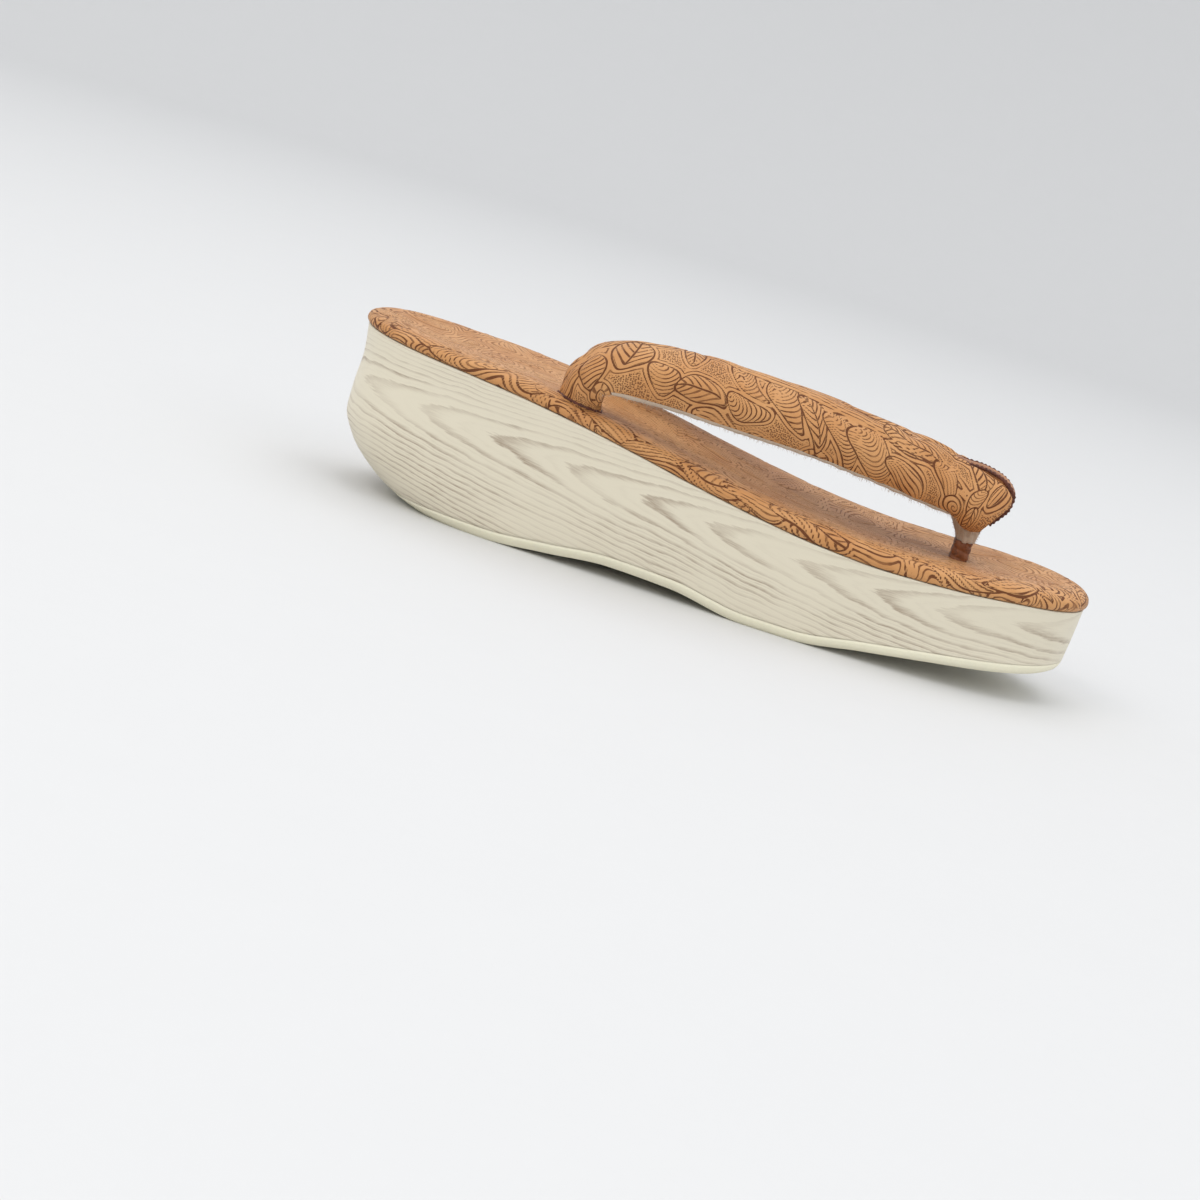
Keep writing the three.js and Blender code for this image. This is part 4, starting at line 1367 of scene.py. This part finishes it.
class SANDAL_OT_stage(bpy.types.Operator):
    """Pale floor that curves up all round, soft lights and the camera"""

    bl_idname = "sandal.stage"
    bl_label = "Stage"

    def execute(self, context):
        scene = context.scene
        self.floor(scene.sandal_colours.floor)
        for name, place, size, power, colour in LIGHTS:
            data = bpy.data.lights.new(name, "AREA")
            data.shape, data.size, data.energy, data.color = "DISK", size, power, colour
            light = bpy.data.objects.new(name, data)
            light.location = place
            light.rotation_euler = (-light.location).to_track_quat("-Z", "Y").to_euler()
            scene.collection.objects.link(light)
        world = bpy.data.worlds.new("Studio air")
        world.use_nodes = True
        background = world.node_tree.nodes["Background"]
        background.inputs["Color"].default_value = (0.97, 0.985, 1.0, 1.0)
        background.inputs["Strength"].default_value = 0.98
        scene.world = world
        scene.view_settings.view_transform = "Standard"
        self.camera(scene)
        return {"FINISHED"}

    def floor(self, colour):
        """A round floor whose rim sweeps up: a quarter arc carried round the upright axis."""
        flat, sweep, flat_steps, bend_steps, turn_steps = 1.9, 0.9, 12, 24, 96
        bend = np.linspace(0, math.pi / 2, bend_steps + 1)
        level = np.linspace(0, flat, flat_steps + 1)[:-1]
        radius = np.concatenate([level, flat + sweep * np.sin(bend)])
        height = np.concatenate([np.zeros(flat_steps), sweep * (1 - np.cos(bend))])
        turn = np.linspace(0, 2 * math.pi, turn_steps + 1)[:, None]
        points = np.stack([radius * np.cos(turn), radius * np.sin(turn), 0 * turn + height], axis=-1)
        floor = grid_piece("floor", points / MM + (LENGTH / 2, 0, 0))
        flip = bmesh.new()
        flip.from_mesh(floor.data)
        flip.normal_update()
        if min(flip.faces, key=lambda f: f.calc_center_median().length).normal.z < 0:
            bmesh.ops.reverse_faces(flip, faces=flip.faces)
        flip.to_mesh(floor.data)
        flip.free()
        dress(floor, soft_sheet("Studio floor", colour, 0.75, 300.0, 0.000005, 0.0, 0.004))

    def camera(self, scene):
        """The camera: turned round, tipped down and rolled from looking straight along +Y."""
        data = bpy.data.cameras.new("camera")
        data.lens = CAMERA["lens"]
        camera = bpy.data.objects.new("camera", data)
        turn = Matrix.Rotation(math.radians(CAMERA["azimuth"]), 4, "Z")
        tip = Matrix.Rotation(math.radians(90 - CAMERA["elevation"]), 4, "X")
        roll = Matrix.Rotation(math.radians(CAMERA["roll"]), 4, "Z")
        camera.matrix_world = Matrix.Translation(CAMERA["place"]) @ turn @ tip @ roll
        scene.collection.objects.link(camera)
        scene.camera = camera


# ---- panel and registration --------------------------------------------------------------------------

OPERATORS = (
    SANDAL_OT_sole, SANDAL_OT_insole, SANDAL_OT_strap, SANDAL_OT_lining, SANDAL_OT_loop,
    SANDAL_OT_post, SANDAL_OT_stage,
)


class SANDAL_PT_panel(bpy.types.Panel):
    """The sandal's settings and its pieces"""

    bl_label = "Sandal"
    bl_idname = "SANDAL_PT_panel"
    bl_space_type = "VIEW_3D"
    bl_region_type = "UI"
    bl_category = "Sandal"

    def draw(self, context):
        for settings in (context.scene.sandal_sizes, context.scene.sandal_colours):
            box = self.layout.box()
            for name in settings.__annotations__:
                box.prop(settings, name)
        for operator in OPERATORS:
            self.layout.operator(operator.bl_idname)


CLASSES = (SandalSizes, SandalColours, *OPERATORS, SANDAL_PT_panel)


def register():
    """Adds the classes and the settings."""
    for item in CLASSES:
        bpy.utils.register_class(item)
    bpy.types.Scene.sandal_sizes = bpy.props.PointerProperty(type=SandalSizes)
    bpy.types.Scene.sandal_colours = bpy.props.PointerProperty(type=SandalColours)


def unregister():
    """Takes them away again."""
    del bpy.types.Scene.sandal_colours
    del bpy.types.Scene.sandal_sizes
    for item in reversed(CLASSES):
        bpy.utils.unregister_class(item)


def main():
    """Builds every piece and the stage."""
    register()
    bpy.ops.sandal.sole()
    bpy.ops.sandal.insole()
    bpy.ops.sandal.strap()
    bpy.ops.sandal.lining()
    bpy.ops.sandal.loop()
    bpy.ops.sandal.post()
    bpy.ops.sandal.stage()
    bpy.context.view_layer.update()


if __name__ == "__main__":
    main()
